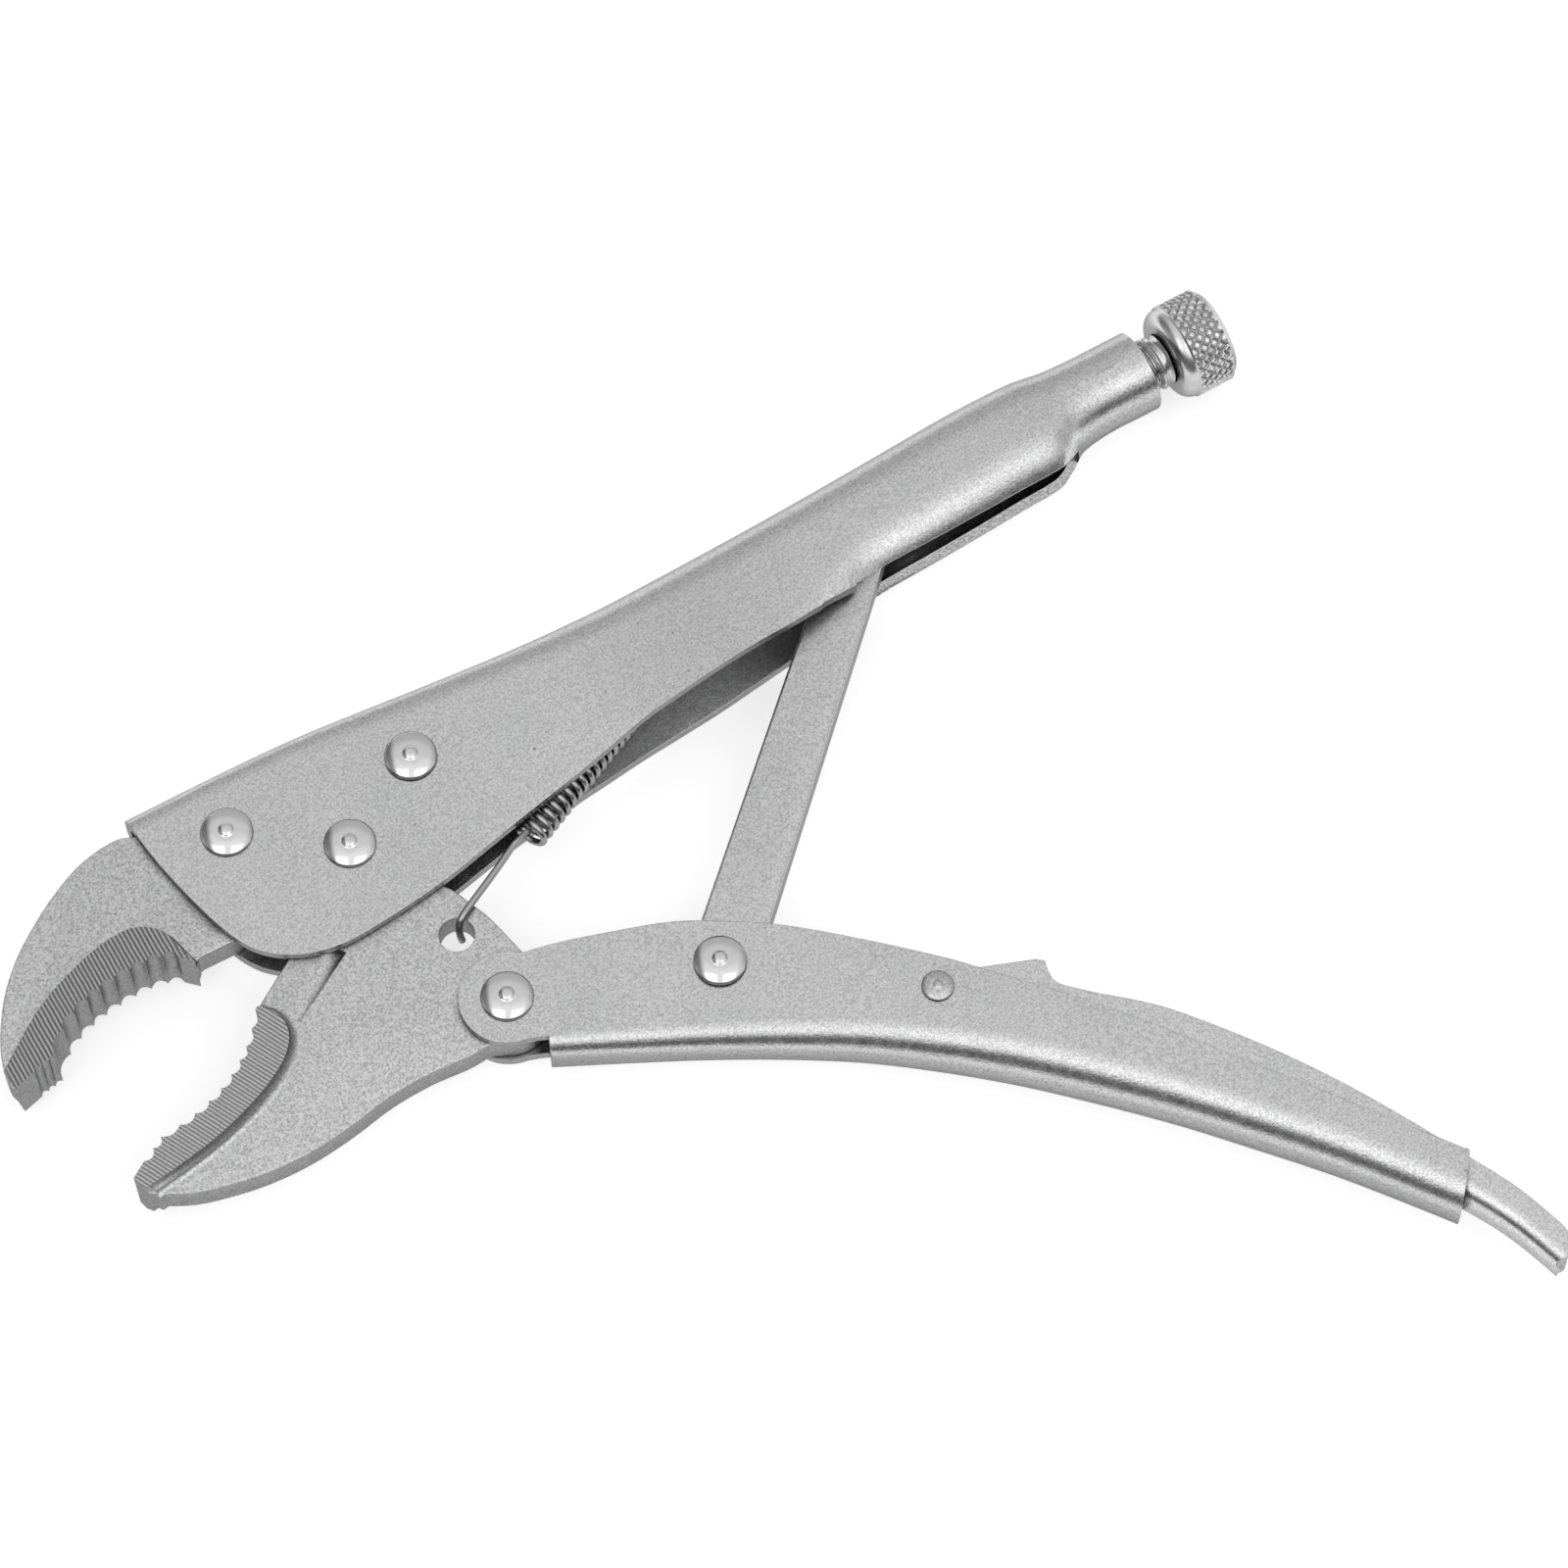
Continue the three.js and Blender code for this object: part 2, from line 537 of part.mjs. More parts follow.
function adjustingScrew() {
  const threadStart = SCREW_TIP_X + 4.4;
  const turns = 31;
  const thread = Array.from({ length: turns * 2 }, (_, i) => [
    i % 2 === 0 ? SCREW_R - THREAD_DEPTH : SCREW_R,
    threadStart + (i * SCREW_PITCH) / 2,
  ]);
  const stubR = 3.0;
  const profile = [
    [0, SCREW_TIP_X], [1.8, SCREW_TIP_X + 0.15], [3.2, SCREW_TIP_X + 0.8], [4.0, SCREW_TIP_X + 2.2],
    ...thread,
    [4.1, KNOB_START_X - 1.6], [4.1, KNOB_START_X - 1.0],
    [4.8, KNOB_START_X - 0.35], [stubR, KNOB_START_X - 0.35], [stubR, KNOB_END_X - 3.3], [0, KNOB_END_X - 3.3],
  ];
  return turnedX(profile, SHAFT_ROUND);
}

function screwKnob() {
  const shoulder = 2.4;
  const rounded = Array.from({ length: 6 }, (_, i) => {
    const angle = (i * Math.PI) / 10;
    return [KNOB_R - 0.3 - shoulder + shoulder * Math.sin(angle), KNOB_START_X + shoulder - shoulder * Math.cos(angle)];
  });
  const profile = [
    [0, KNOB_START_X], ...rounded, [KNOB_R, KNOB_START_X + shoulder + 0.3], [KNOB_R, KNOB_END_X - 1.1],
    [KNOB_R - 1.1, KNOB_END_X], [0, KNOB_END_X],
  ];
  return turnedX(profile, 40).subtract(boreX(3.0 + HOLE_CLEAR + 0.02, KNOB_START_X - 5, KNOB_END_X - 3));
}

// A pin with a shallow cone and a small centre bump formed at each end; the profile is in shares of the
// head's radius and rise.
function rivet(at, seat, shankR = SHANK_R, headR = HEAD_R, rise = HEAD_RISE) {
  const low = seat + SEAT_GAP;
  const dome = [[1, 0], [1, 0.14], [0.9, 0.34], [0.62, 0.62], [0.3, 0.8], [0.19, 0.94], [0, 1]];
  const upper = [[shankR, low], ...dome.map(([out, up]) => [headR * out, low + rise * up])];
  const lower = upper.slice().reverse().map(([r, z]) => [r, -z]);
  const profile = [...lower, ...upper].map(([r, z]) => new THREE.Vector2(Math.max(r, 0), z));
  const geometry = new THREE.LatheGeometry(profile, SHAFT_ROUND);
  geometry.rotateX(Math.PI / 2);
  geometry.translate(at[0], at[1], 0);
  return solid(geometry);
}

// ---- spring ----
// Sweeps a round wire along a path, carrying its frame along without twist.
function wire(path, radius, sides) {
  const tangents = path.map((point, i) => {
    const before = path[Math.max(0, i - 1)];
    const after = path[Math.min(path.length - 1, i + 1)];
    return after.clone().sub(before).normalize();
  });
  let normal = new THREE.Vector3(0, 0, 1).cross(tangents[0]).normalize();
  const rings = path.map((point, i) => {
    normal = normal.clone().addScaledVector(tangents[i], -normal.dot(tangents[i])).normalize();
    const side = tangents[i].clone().cross(normal);
    return Array.from({ length: sides }, (_, k) => {
      const angle = (2 * Math.PI * k) / sides;
      const offset = normal.clone().multiplyScalar(Math.cos(angle)).addScaledVector(side, Math.sin(angle));
      return point.clone().addScaledVector(offset, radius).toArray();
    });
  });
  return loft(rings);
}

function springPath() {
  const axis = new THREE.Vector3(ANCHOR[0] - COIL_START[0], ANCHOR[1] - COIL_START[1], 0).normalize();
  const across = new THREE.Vector3(-axis.y, axis.x, 0);
  const start = new THREE.Vector3(...COIL_START, 0);
  const turns = Math.round(COIL_LENGTH / COIL_PITCH);
  const perTurn = 9;
  const coil = Array.from({ length: turns * perTurn + 1 }, (_, i) => {
    const angle = (2 * Math.PI * i) / perTurn;
    return start.clone()
      .addScaledVector(axis, (COIL_LENGTH * i) / (turns * perTurn))
      .addScaledVector(across, COIL_R * Math.sin(angle))
      .add(new THREE.Vector3(0, 0, COIL_R * Math.cos(angle)));
  });
  const [hx, hy] = SPRING_HOLE;
  const front = new THREE.CatmullRomCurve3([
    new THREE.Vector3(hx + 0.9, hy + 0.1, -0.9), new THREE.Vector3(hx + 0.8, hy + 0.6, 1.2),
    new THREE.Vector3(hx + 1.3, hy + 1.4, 3.1), new THREE.Vector3(hx + 3.2, hy + 2.6, 4.0),
    new THREE.Vector3(hx + 11.1, hy + 6.8, 3.3), new THREE.Vector3(hx + 16.6, hy + 10.0, 2.65),
  ]).getPoints(14);
  const end = start.clone().addScaledVector(axis, COIL_LENGTH);
  const [ax, ay] = ANCHOR;
  const rear = new THREE.CatmullRomCurve3([
    new THREE.Vector3(end.x + 1.6, end.y + 0.4, 2.4), new THREE.Vector3(ax - 3.4, ay - 1.2, 2.3),
    new THREE.Vector3(ax - 0.7, ay - 0.2, 1.75), new THREE.Vector3(ax - 0.1, ay - 0.1, 0.6),
    new THREE.Vector3(ax - 0.1, ay - 0.1, -1.1),
  ]).getPoints(10);
  return [...front, ...coil, ...rear];
}

function tensionSpring() {
  return wire(springPath(), WIRE_R, 5);
}

// ---- colours ----
const PLATED = { color: 0xb4b5b6, roughness: 0.42, metalness: 0.85 };
const PIECES = [
  ['fixed_handle', fixedHandle, PLATED],
  ['upper_jaw', upperJaw, { ...PLATED, color: 0xb0b1b2 }],
  ['lower_jaw', lowerJaw, { ...PLATED, color: 0xb0b1b2 }],
  ['moving_handle', movingHandle, PLATED],
  ['release_lever', releaseLever, { ...PLATED, color: 0xb8b9ba }],
  ['toggle_link', toggleLink, { ...PLATED, color: 0xa9abac }],
  ['adjusting_screw', adjustingScrew, { color: 0xc2c4c6, roughness: 0.25, metalness: 1 }],
  ['screw_knob', screwKnob, { color: 0xbcbec0, roughness: 0.28, metalness: 1 }],
  ['tension_spring', tensionSpring, { color: 0x8f9193, roughness: 0.3, metalness: 1 }],
  ['front_jaw_rivet', () => rivet(FRONT_RIVET, FLAT_SEAT), { color: 0xc4c6c8, roughness: 0.18, metalness: 1 }],
  ['rear_jaw_rivet', () => rivet(REAR_RIVET, REAR_SEAT), { color: 0xc4c6c8, roughness: 0.18, metalness: 1 }],
  ['main_pivot_rivet', () => rivet(MAIN_PIVOT, FLAT_SEAT), { color: 0xc4c6c8, roughness: 0.18, metalness: 1 }],
  ['handle_pivot_rivet', () => rivet(HANDLE_PIVOT, FLAT_SEAT), { color: 0xc4c6c8, roughness: 0.18, metalness: 1 }],
  ['link_rivet', () => rivet(LINK_PIVOT, LINK_SEAT), { color: 0xc4c6c8, roughness: 0.18, metalness: 1 }],
  ['lever_rivet', () => rivet(LEVER_PIVOT, LEVER_SEAT, 2, 2.75, 0.9), { color: 0xb6b8ba, roughness: 0.3, metalness: 1 }],
];

function buildGroup() {
  const group = new THREE.Group();
  group.name = 'locking_pliers';
  for (const [name, make, look] of PIECES) {
    const mesh = new THREE.Mesh(geometryOf(make()), new THREE.MeshStandardMaterial(look));
    mesh.name = name;
    group.add(mesh);
  }
  const bounds = new THREE.Box3().setFromObject(group);
  const centre = bounds.getCenter(new THREE.Vector3());
  for (const mesh of group.children) {
    mesh.geometry.translate(-centre.x, -centre.y, -bounds.min.z);
  }
  return group;
}

const group = buildGroup();
export default group;
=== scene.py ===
"""Looks for the locking pliers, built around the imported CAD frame.

The shapes are worked out in millimetres in a drawing frame: main pivot at the origin, +X along the
adjusting screw, +Z across the thickness. to_row_frame() moves a finished mesh into the shared row
frame, in metres.
"""
import math

import bpy
from mathutils import Matrix, Vector


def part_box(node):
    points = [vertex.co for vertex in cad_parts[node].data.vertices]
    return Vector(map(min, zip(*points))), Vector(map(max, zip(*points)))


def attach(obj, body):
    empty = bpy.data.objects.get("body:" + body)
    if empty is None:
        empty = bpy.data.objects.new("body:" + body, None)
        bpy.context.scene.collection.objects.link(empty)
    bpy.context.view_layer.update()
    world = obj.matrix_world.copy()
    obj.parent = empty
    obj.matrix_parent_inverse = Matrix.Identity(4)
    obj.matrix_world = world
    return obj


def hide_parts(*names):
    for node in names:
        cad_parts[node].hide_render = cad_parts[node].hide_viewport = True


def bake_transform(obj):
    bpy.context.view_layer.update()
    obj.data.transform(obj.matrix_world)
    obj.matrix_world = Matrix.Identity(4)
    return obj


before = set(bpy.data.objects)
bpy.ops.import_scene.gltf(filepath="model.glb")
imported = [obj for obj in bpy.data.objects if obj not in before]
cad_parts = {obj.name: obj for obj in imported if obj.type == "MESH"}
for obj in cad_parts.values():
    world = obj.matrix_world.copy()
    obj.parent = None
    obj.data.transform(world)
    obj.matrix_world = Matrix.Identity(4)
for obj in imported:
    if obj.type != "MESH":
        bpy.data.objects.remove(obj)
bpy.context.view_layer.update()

# ---- driving numbers, in millimetres, with angles in degrees ----
SHEET = 1.9
PLATE_HALF = 3.0
GAP_HALF = 3.1
EAR_HALF = GAP_HALF + SHEET
PAD_HALF = 5.75
SLOT_HALF = 4.9
SHANK_R = 3.0
HOLE_R = 3.06
SCREW_Y = 12.6
SCREW_R = 5.0
SCREW_PITCH = 1.5
THREAD_DEPTH = 0.85
THREAD_CREST = 0.12
THREAD_FLANK = 0.72
THREAD_CLEARANCE = 0.08
SCREW_TIP_X = 117.4
TUBE_START_X = 150.5
TUBE_END_X = 165.2
KNOB_START_X = 170.2
KNOB_END_X = 180.7
KNOB_R = 8.8
KNOB_ROUND_R = 2.4
KNOB_BORE_R = 3.08
KNOB_BORE_DEPTH = 6.5
SPIGOT_R = 3.0
LEVER_SHEET = 1.4
COIL_R = 2.45
COIL_PITCH = 1.75
COIL_LENGTH = 38.0
WIRE_R = 0.62
SMALL_HOLE_R = 2.06
SMALL_SHANK_R = 2.0
SPRING_HOLE_R = 3.1
HEAD_R = 4.5
HEAD_RISE = 1.7
SMALL_HEAD_R = 2.75
SMALL_HEAD_RISE = 0.9
SEAT_GAP = 0.05
CUTTER_HALF = 12
CLIP_HALF = 20
TAB_HALF = 0.95
TAB_HOLE_R = 1.4
EAR_R = 8.3
UPPER_HUB_R = 11.2
LOWER_HUB_R = 10.7
LOWER_TAIL_R = 7.6
LINK_LOW_R = 5.75
LINK_TOP_R = 4.7
GROOVE_HALF = 7.3
GROOVE_LOW_R = 1.75
GROOVE_HIGH_R = 2.4
GROOVE_RISE = 1.6
GROOVE_ANGLE = 33.7
KNURL_STARTS = 26
KNURL_LEAD = 53.0
KNURL_DEPTH = 0.5
JAW_EDGE_R = 0.3
LINK_EDGE_R = 0.6
FLAT_SEAT = 5.0
REAR_SEAT = 5.25
LINK_SEAT = 5.7
LEVER_SEAT = 6.45

MAIN_PIVOT = (0.0, 0.0)
FRONT_RIVET = (-17.2, 12.3)
REAR_RIVET = (16.7, 9.1)
HANDLE_PIVOT = (9.6, -37.9)
LINK_PIVOT = (43.7, -50.4)
LINK_TOP = (110.8, SCREW_Y)
LEVER_PIVOT = (73.0, -72.9)
SPRING_HOLE = (8.0, -23.0)
ANCHOR = (72.0, 8.0)
COIL_START = (27.6, -12.2)
GROOVE_AT = (-16.8, -19.06)

# ---- light and view: the floor and the camera's distance in metres, the rest in millimetres ----
FLOOR_HALF = 3.0
FLOOR_GLOW = 0.50
TURN = math.radians(30)
LIFT = math.radians(66)
DISTANCE = 1.0101
LENS = 135.0
FILM_WIDTH = 36.0
VIEW_CENTRE = (70.6, -25.35, 0)
TOWARDS_CAMERA = (-math.sin(TURN), -math.cos(TURN), 0.0)
TO_THE_RIGHT = (math.cos(TURN), -math.sin(TURN), 0.0)
# Brightness against the angle from overhead (-90 far horizon, +90 camera-side horizon), in degrees.
SKY = [
    (-90, 0.50), (-55, 0.54), (-38, 0.70), (-22, 0.74), (-6, 0.92),
    (6, 1.0), (43, 0.95), (52, 0.15), (90, 0.12),
]
# How the sky is dimmed sideways: a dark flag on the left, a softer one on the right.
SIDE_DIM = [
    (-1.0, 0.55), (-0.86, 0.30), (-0.68, 0.30), (-0.50, 1.0), (0.55, 1.0), (0.80, 0.72), (1.0, 0.72),
]
# Two soft boxes either side of the camera: their share of the full glow against that angle,
# and against the sideways part of the direction.
BOX_HEIGHT = [(6, 0.0), (14, 1.0), (40, 1.0), (48, 0.0)]
BOX_SIDE = [
    (-0.66, 0.0), (-0.54, 1.0), (-0.16, 1.0), (-0.08, 0.0),
    (0.08, 0.0), (0.16, 1.0), (0.54, 1.0), (0.66, 0.0),
]
BOX_GLOW = 0.60

pivot_low, pivot_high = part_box("main_pivot_rivet")
ORIGIN = (Vector(pivot_low) + Vector(pivot_high)) / 2


# ---- mesh tools ----
def to_row_frame(mesh):
    for vertex in mesh.vertices:
        vertex.co = ORIGIN + vertex.co / 1000


def new_object(name, vertices, faces):
    mesh = bpy.data.meshes.new(name)
    mesh.from_pydata([tuple(v) for v in vertices], [], faces)
    mesh.validate()
    mesh.update()
    obj = bpy.data.objects.new(name, mesh)
    bpy.context.scene.collection.objects.link(obj)
    return obj


def ring_faces(ring_count, size, closed=False):
    faces = []
    for k in range(ring_count if closed else ring_count - 1):
        low = k * size
        high = ((k + 1) % ring_count) * size
        for i in range(size):
            j = (i + 1) % size
            faces.append((low + i, low + j, high + j, high + i))
    return faces


def signed_volume(vertices, faces):
    total = 0.0
    for face in faces:
        a = Vector(vertices[face[0]])
        for i in range(1, len(face) - 1):
            total += a.dot(Vector(vertices[face[i]]).cross(Vector(vertices[face[i + 1]])))
    return total


def closed_object(name, vertices, faces):
    if signed_volume(vertices, faces) < 0:
        faces = [tuple(reversed(face)) for face in faces]
    return new_object(name, vertices, faces)


def loft(name, rings):
    """A closed body through rings of 3-D points, capped with one flat face at each end."""
    size = len(rings[0])
    vertices = [p for ring in rings for p in ring]
    last = (len(rings) - 1) * size
    faces = ring_faces(len(rings), size)
    faces.append(tuple(reversed(range(size))))
    faces.append(tuple(last + i for i in range(size)))
    return closed_object(name, vertices, faces)


def stack(name, layers):
    """A closed body through flat outlines stacked along Z."""
    return loft(name, [[(x, y, z) for x, y in outline] for z, outline in layers])


def prism(name, outline, low, high):
    return stack(name, [(low, outline), (high, outline)])


def block(name, low, high):
    (x0, y0, z0), (x1, y1, z1) = low, high
    return prism(name, [(x0, y0), (x1, y0), (x1, y1), (x0, y1)], z0, z1)


def rod_z(name, at, radius, low, high, sides=64):
    return prism(name, arc(at, radius, 0, 360 - 360 / sides, sides - 1), low, high)


def hole(at, radius=HOLE_R, sides=48):
    """A cutter that goes right through the tool."""
    return rod_z("hole", at, radius, -CUTTER_HALF, CUTTER_HALF, sides)


def circle_x(x, radius, sides, centre=(0.0, SCREW_Y, 0.0)):
    return [
        (x, centre[1] + radius * math.cos(a), centre[2] + radius * math.sin(a))
        for a in (2 * math.pi * i / sides for i in range(sides))
    ]


def turned_x(name, profile, sides, centre=(0.0, SCREW_Y, 0.0)):
    """A closed body turned about an axis along X; the profile is (radius, x), ending on the axis."""
    return loft(name, [circle_x(x, max(radius, 1e-4), sides, centre) for radius, x in profile])


def combine(base, operation, *tools):
    """Applies one boolean with each tool in turn, and removes the tools."""
    for tool in tools:
        modifier = base.modifiers.new("cut", "BOOLEAN")
        modifier.operation = operation
        modifier.object = tool
        modifier.solver = "EXACT"
        depsgraph = bpy.context.evaluated_depsgraph_get()
        mesh = bpy.data.meshes.new_from_object(base.evaluated_get(depsgraph))
        base.modifiers.clear()
        old = base.data
        base.data = mesh
        bpy.data.meshes.remove(old)
        bpy.data.objects.remove(tool)
    return base


def cut(base, *tools):
    return combine(base, "DIFFERENCE", *tools)


def keep_inside(base, *tools):
    return combine(base, "INTERSECT", *tools)


def join(base, *tools):
    return combine(base, "UNION", *tools)


# ---- plane curves ----
def spline(rows, per_span):
    """Uniform Catmull-Rom through rows of any width, with the end rows doubled."""
    out = []
    count = (len(rows) - 1) * per_span
    for i in range(count + 1):
        at = (len(rows) - 1) * i / count
        k = min(int(at), len(rows) - 1)
        w = at - k
        p0 = rows[max(k - 1, 0)]
        p1 = rows[k]
        p2 = rows[min(k + 1, len(rows) - 1)]
        p3 = rows[min(k + 2, len(rows) - 1)]
        row = []
        for a, b, c, d in zip(p0, p1, p2, p3):
            v0 = (c - a) / 2
            v1 = (d - b) / 2
            row.append((2 * b - 2 * c + v0 + v1) * w**3 + (-3 * b + 3 * c - 2 * v0 - v1) * w**2 + v0 * w + b)
        out.append(tuple(row))
    return out


def arc(centre, radius, start, end, steps):
    points = []
    for i in range(steps + 1):
        a = math.radians(start + (end - start) * i / steps)
        points.append((centre[0] + radius * math.cos(a), centre[1] + radius * math.sin(a)))
    return points


def area(outline):
    return sum(
        a[0] * b[1] - b[0] * a[1] for a, b in zip(outline, outline[1:] + outline[:1])
    ) / 2


def counter_clockwise(outline):
    return outline if area(outline) > 0 else outline[::-1]


def inset(points, distance):
    """Moves each point of a counter-clockwise outline inwards."""
    out = []
    for i, point in enumerate(points):
        here = Vector(point)
        first = (here - Vector(points[i - 1])).normalized()
        second = (Vector(points[(i + 1) % len(points)]) - here).normalized()
        normal = Vector((-first.y - second.y, first.x + second.x))
        if normal.length < 1e-6:
            normal = Vector((-first.y, first.x))
        normal.normalize()
        stretch = max(0.5, normal.dot(Vector((-first.y, first.x))))
        out.append(tuple(here + normal * distance / stretch))
    return out


def rounded_plate(name, outline, half, radius, steps=4):
    """A plate with both its edges rounded."""
    points = counter_clockwise(outline)
    levels = []
    for i in range(steps + 1):
        a = math.pi / 2 * i / steps
        levels.append((half - radius + radius * math.sin(a), radius * (1 - math.cos(a))))
    layers = [(-z, inset(points, d)) for z, d in reversed(levels)]
    layers += [(z, inset(points, d)) for z, d in levels]
    return stack(name, layers)


def tapered(a, ar, b, br, steps=24):
    """Two circles of different radii and their outer tangents."""
    heading = math.degrees(math.atan2(b[1] - a[1], b[0] - a[0]))
    side = 90 - math.degrees(math.asin((ar - br) / math.dist(a, b)))
    return (
        arc(b, br, heading - side, heading + side, steps)
        + arc(a, ar, heading + side, heading + 360 - side, steps)
    )


def scallops(crests, depth, steps=8):
    """Rounded hollows between the tooth crests, shallower where two crests stand close."""
    points = []
    for (ax, ay), (bx, by) in zip(crests, crests[1:]):
        length = math.hypot(bx - ax, by - ay)
        nx, ny = -(by - ay) / length, (bx - ax) / length
        dip = min(depth, 0.36 * length)
        for i in range(steps):
            t = i / steps
            part = math.sin(math.pi * t) ** 0.75
            points.append((ax + (bx - ax) * t + nx * dip * part, ay + (by - ay) * t + ny * dip * part))
    return points + [crests[-1]]


# ---- pressed sheet channels ----
def rounded_ring(half, low, high, low_r, rise, reach, to_3d):
    """Round lower corners, and upper corners that may be taller than they are wide."""
    steps = 9
    flat_half = 0.05
    swing = math.degrees(math.acos((low_r - half + flat_half) / low_r)) if low_r > half else 90
    near = arc((half - low_r, low + low_r), low_r, -swing, 0, steps)
    near += [(half - reach + z * reach, high - rise + up * rise) for z, up in arc((0, 0), 1, 0, 90, steps)]
    far = [(-z, height) for z, height in reversed(near)]
    return [to_3d(z, height) for z, height in near + far]


FIXED_STATIONS = [
    # x, spine y, underside y, half width, extra width at the lower edge, y of that edge,
    # rise and reach of the spine's corners, radius of the lower corners
    (-36, 24.1, -24, 5.0, 0, -14, 4.2, 3.3, 2.5),
    (-14, 23.85, -24, 5.0, 0, -14, 4.4, 3.4, 2.5),
    (1, 23.35, -24, 5.0, 0, -14, 4.8, 3.5, 2.5),
    (14, 22.25, -24, 5.0, 0, -13.4, 5.4, 3.7, 2.5),
    (25, 21.15, -24, 5.15, 0, -11.1, 6.0, 4.0, 2.5),
    (38, 19.7, -24, 6.1, 0, -8.8, 6.5, 4.6, 2.5),
    (46, 19.05, -22, 6.7, 0.6, -7.4, 6.9, 5.2, 2.6),
    (54, 18.65, -19, 7.2, 1.5, -6.0, 7.2, 5.8, 3.0),
    (60, 18.5, -16.5, 7.5, 1.8, -5.3, 7.4, 6.2, 3.6),
    (70, 18.65, -13.5, 7.8, 1.98, -4.3, 7.6, 6.7, 5.0),
    (78, 18.8, -11.5, 8.05, 1.25, -3.5, 7.8, 7.0, 6.4),
    (85, 19.0, -9.8, 8.15, 0.45, -2.9, 7.9, 7.2, 7.8),
    (92, 19.25, -7.6, 8.2, 0, -1.9, 8.0, 7.4, 9.0),
    (98, 19.45, -5.5, 8.3, 0, -1.4, 8.0, 7.4, 10.0),
    (104, 19.7, -3.3, 8.3, 0, -0.8, 8.0, 7.4, 10.0),
    (117, 20.35, -2.5, 8.3, 0, 0, 8.0, 7.4, 10.0),
    (127, 20.9, -1.9, 8.25, 0, 0, 8.0, 7.4, 10.0),
    (134, 21.1, -1.3, 8.2, 0, 0, 8.0, 7.4, 9.9),
    (142, 21.1, -0.7, 7.95, 0, 0, 7.8, 7.4, 9.4),
    (145.5, 20.75, 1.6, 7.75, 0, 0, 7.6, 7.4, 8.4),
    (149, 20.3, 4.2, 7.55, 0, 0, 7.5, 7.45, 7.5),
    (155, 20.05, 5.15, 7.46, 0, 0, 7.45, 7.45, 7.45),
    (162, 20.05, 5.15, 7.46, 0, 0, 7.45, 7.45, 7.45),
    (170, 20.05, 5.15, 7.46, 0, 0, 7.45, 7.45, 7.45),
]

FIXED_FRONT = [
    (-31.0, 24), (-30.3, 15.5), (-28.6, 6.5), (-26.2, -2.5), (-23.6, -8.2), (-20, -11.9), (-15.2, -14.4),
    (-9, -15.6), (-1, -15.3), (8.2, -14.3), (14, -13.3), (25, -11.0), (38, -8.75), (46, -7.4), (54, -6.0),
    (60, -5.3), (70, -4.3), (78, -3.5), (85, -2.95), (91.6, -2.2),
]


def fixed_channel(name, shrink, until):
    rings = []
    for x, high, low, half, flare, edge, rise, reach, low_r in spline(FIXED_STATIONS, 6):
        if x > until:
            continue

        def to_3d(z, height, x=x, high=high, flare=flare, edge=edge):
            return (x, height, z + math.copysign(flare * (high - height) / (high - edge), z))

        rings.append(rounded_ring(
            half - shrink, low + shrink, high - shrink, low_r - shrink, rise - shrink, reach - shrink, to_3d
        ))
    return loft(name, rings)


def slot_wedge():
    """Cuts the slot between the curled edges, with its sides square to the curled sheet."""
    half = [(SLOT_HALF - 3, 4), (SLOT_HALF, 0.3), (SLOT_HALF + 4.8, -5)]
    sides = [(-z, y) for z, y in reversed(half)] + half
    return loft("slot", [[(x, y, z) for z, y in sides] for x in (99, 147)])


def anchor_tab():
    x, y = ANCHOR
    outline = [(x - 3.4, y - 2.9), (x + 2.4, y - 2.9), (x + 3.6, 17.6), (x - 3.4, 17.6)]
    return cut(prism("tab", outline, -TAB_HALF, TAB_HALF), rod_z("tab_hole", ANCHOR, TAB_HOLE_R, -2, 2, 24))


def fixed_handle():
    outline = [(-31.0, 30)] + spline(FIXED_FRONT, 6) + [
        (92.2, -1.95), (98, -1.4), (104, -0.8), (104.5, -6), (TUBE_END_X, -6), (TUBE_END_X, 30),
    ]
    bore_r = SCREW_R + THREAD_CLEARANCE
    shell = fixed_channel("fixed_handle_sheet", 0, 170)
    shell = keep_inside(shell, prism("clip", outline, -CLIP_HALF, CLIP_HALF))
    shell = cut(
        shell,
        fixed_channel("cavity", SHEET, TUBE_START_X),
        slot_wedge(),
        turned_x("bore", [(0, 140), (bore_r, 140), (bore_r, 180), (0, 180)], 48),
        *[hole(at) for at in (FRONT_RIVET, REAR_RIVET, MAIN_PIVOT)],
    )
    return join(shell, anchor_tab())


MOVING_STATIONS = [
    # x and y of the closed underside, half width, corner radius
    (4.7, -47.0, 5.0, 3.4),
    (10.6, -50.0, 5.0, 3.4),
    (22.4, -56.1, 5.02, 3.8),
    (34.1, -62.3, 5.2, 4.3),
    (45.6, -68.9, 5.5, 4.8),
    (56.8, -76.0, 5.95, 5.3),
    (67.4, -84.1, 6.35, 5.8),
    (77.6, -92.9, 6.6, 6.2),
    (87.3, -102.3, 6.7, 6.3),
    (96.8, -112.1, 6.7, 6.3),
    (105.9, -122.4, 6.7, 6.2),
    (114.8, -132.9, 6.6, 6.1),
    (123.3, -144.0, 6.45, 5.9),
    (133.0, -157.3, 6.3, 5.8),
]

LEVER_STATIONS = [
    (61.0, -73.2, 3.75, 2.6),
    (70.5, -81.1, 3.95, 2.8),
    (79.6, -89.4, 4.2, 3.0),
    (89.3, -98.9, 4.35, 3.2),
    (98.8, -108.8, 4.4, 3.3),
    (107.9, -119.2, 4.4, 3.3),
    (116.9, -129.9, 4.35, 3.3),
    (125.4, -141.1, 4.3, 3.2),
    (130.6, -149.4, 4.25, 3.2),
    (134.6, -158.0, 4.0, 3.0),
    (138.2, -170.0, 3.8, 2.8),
]


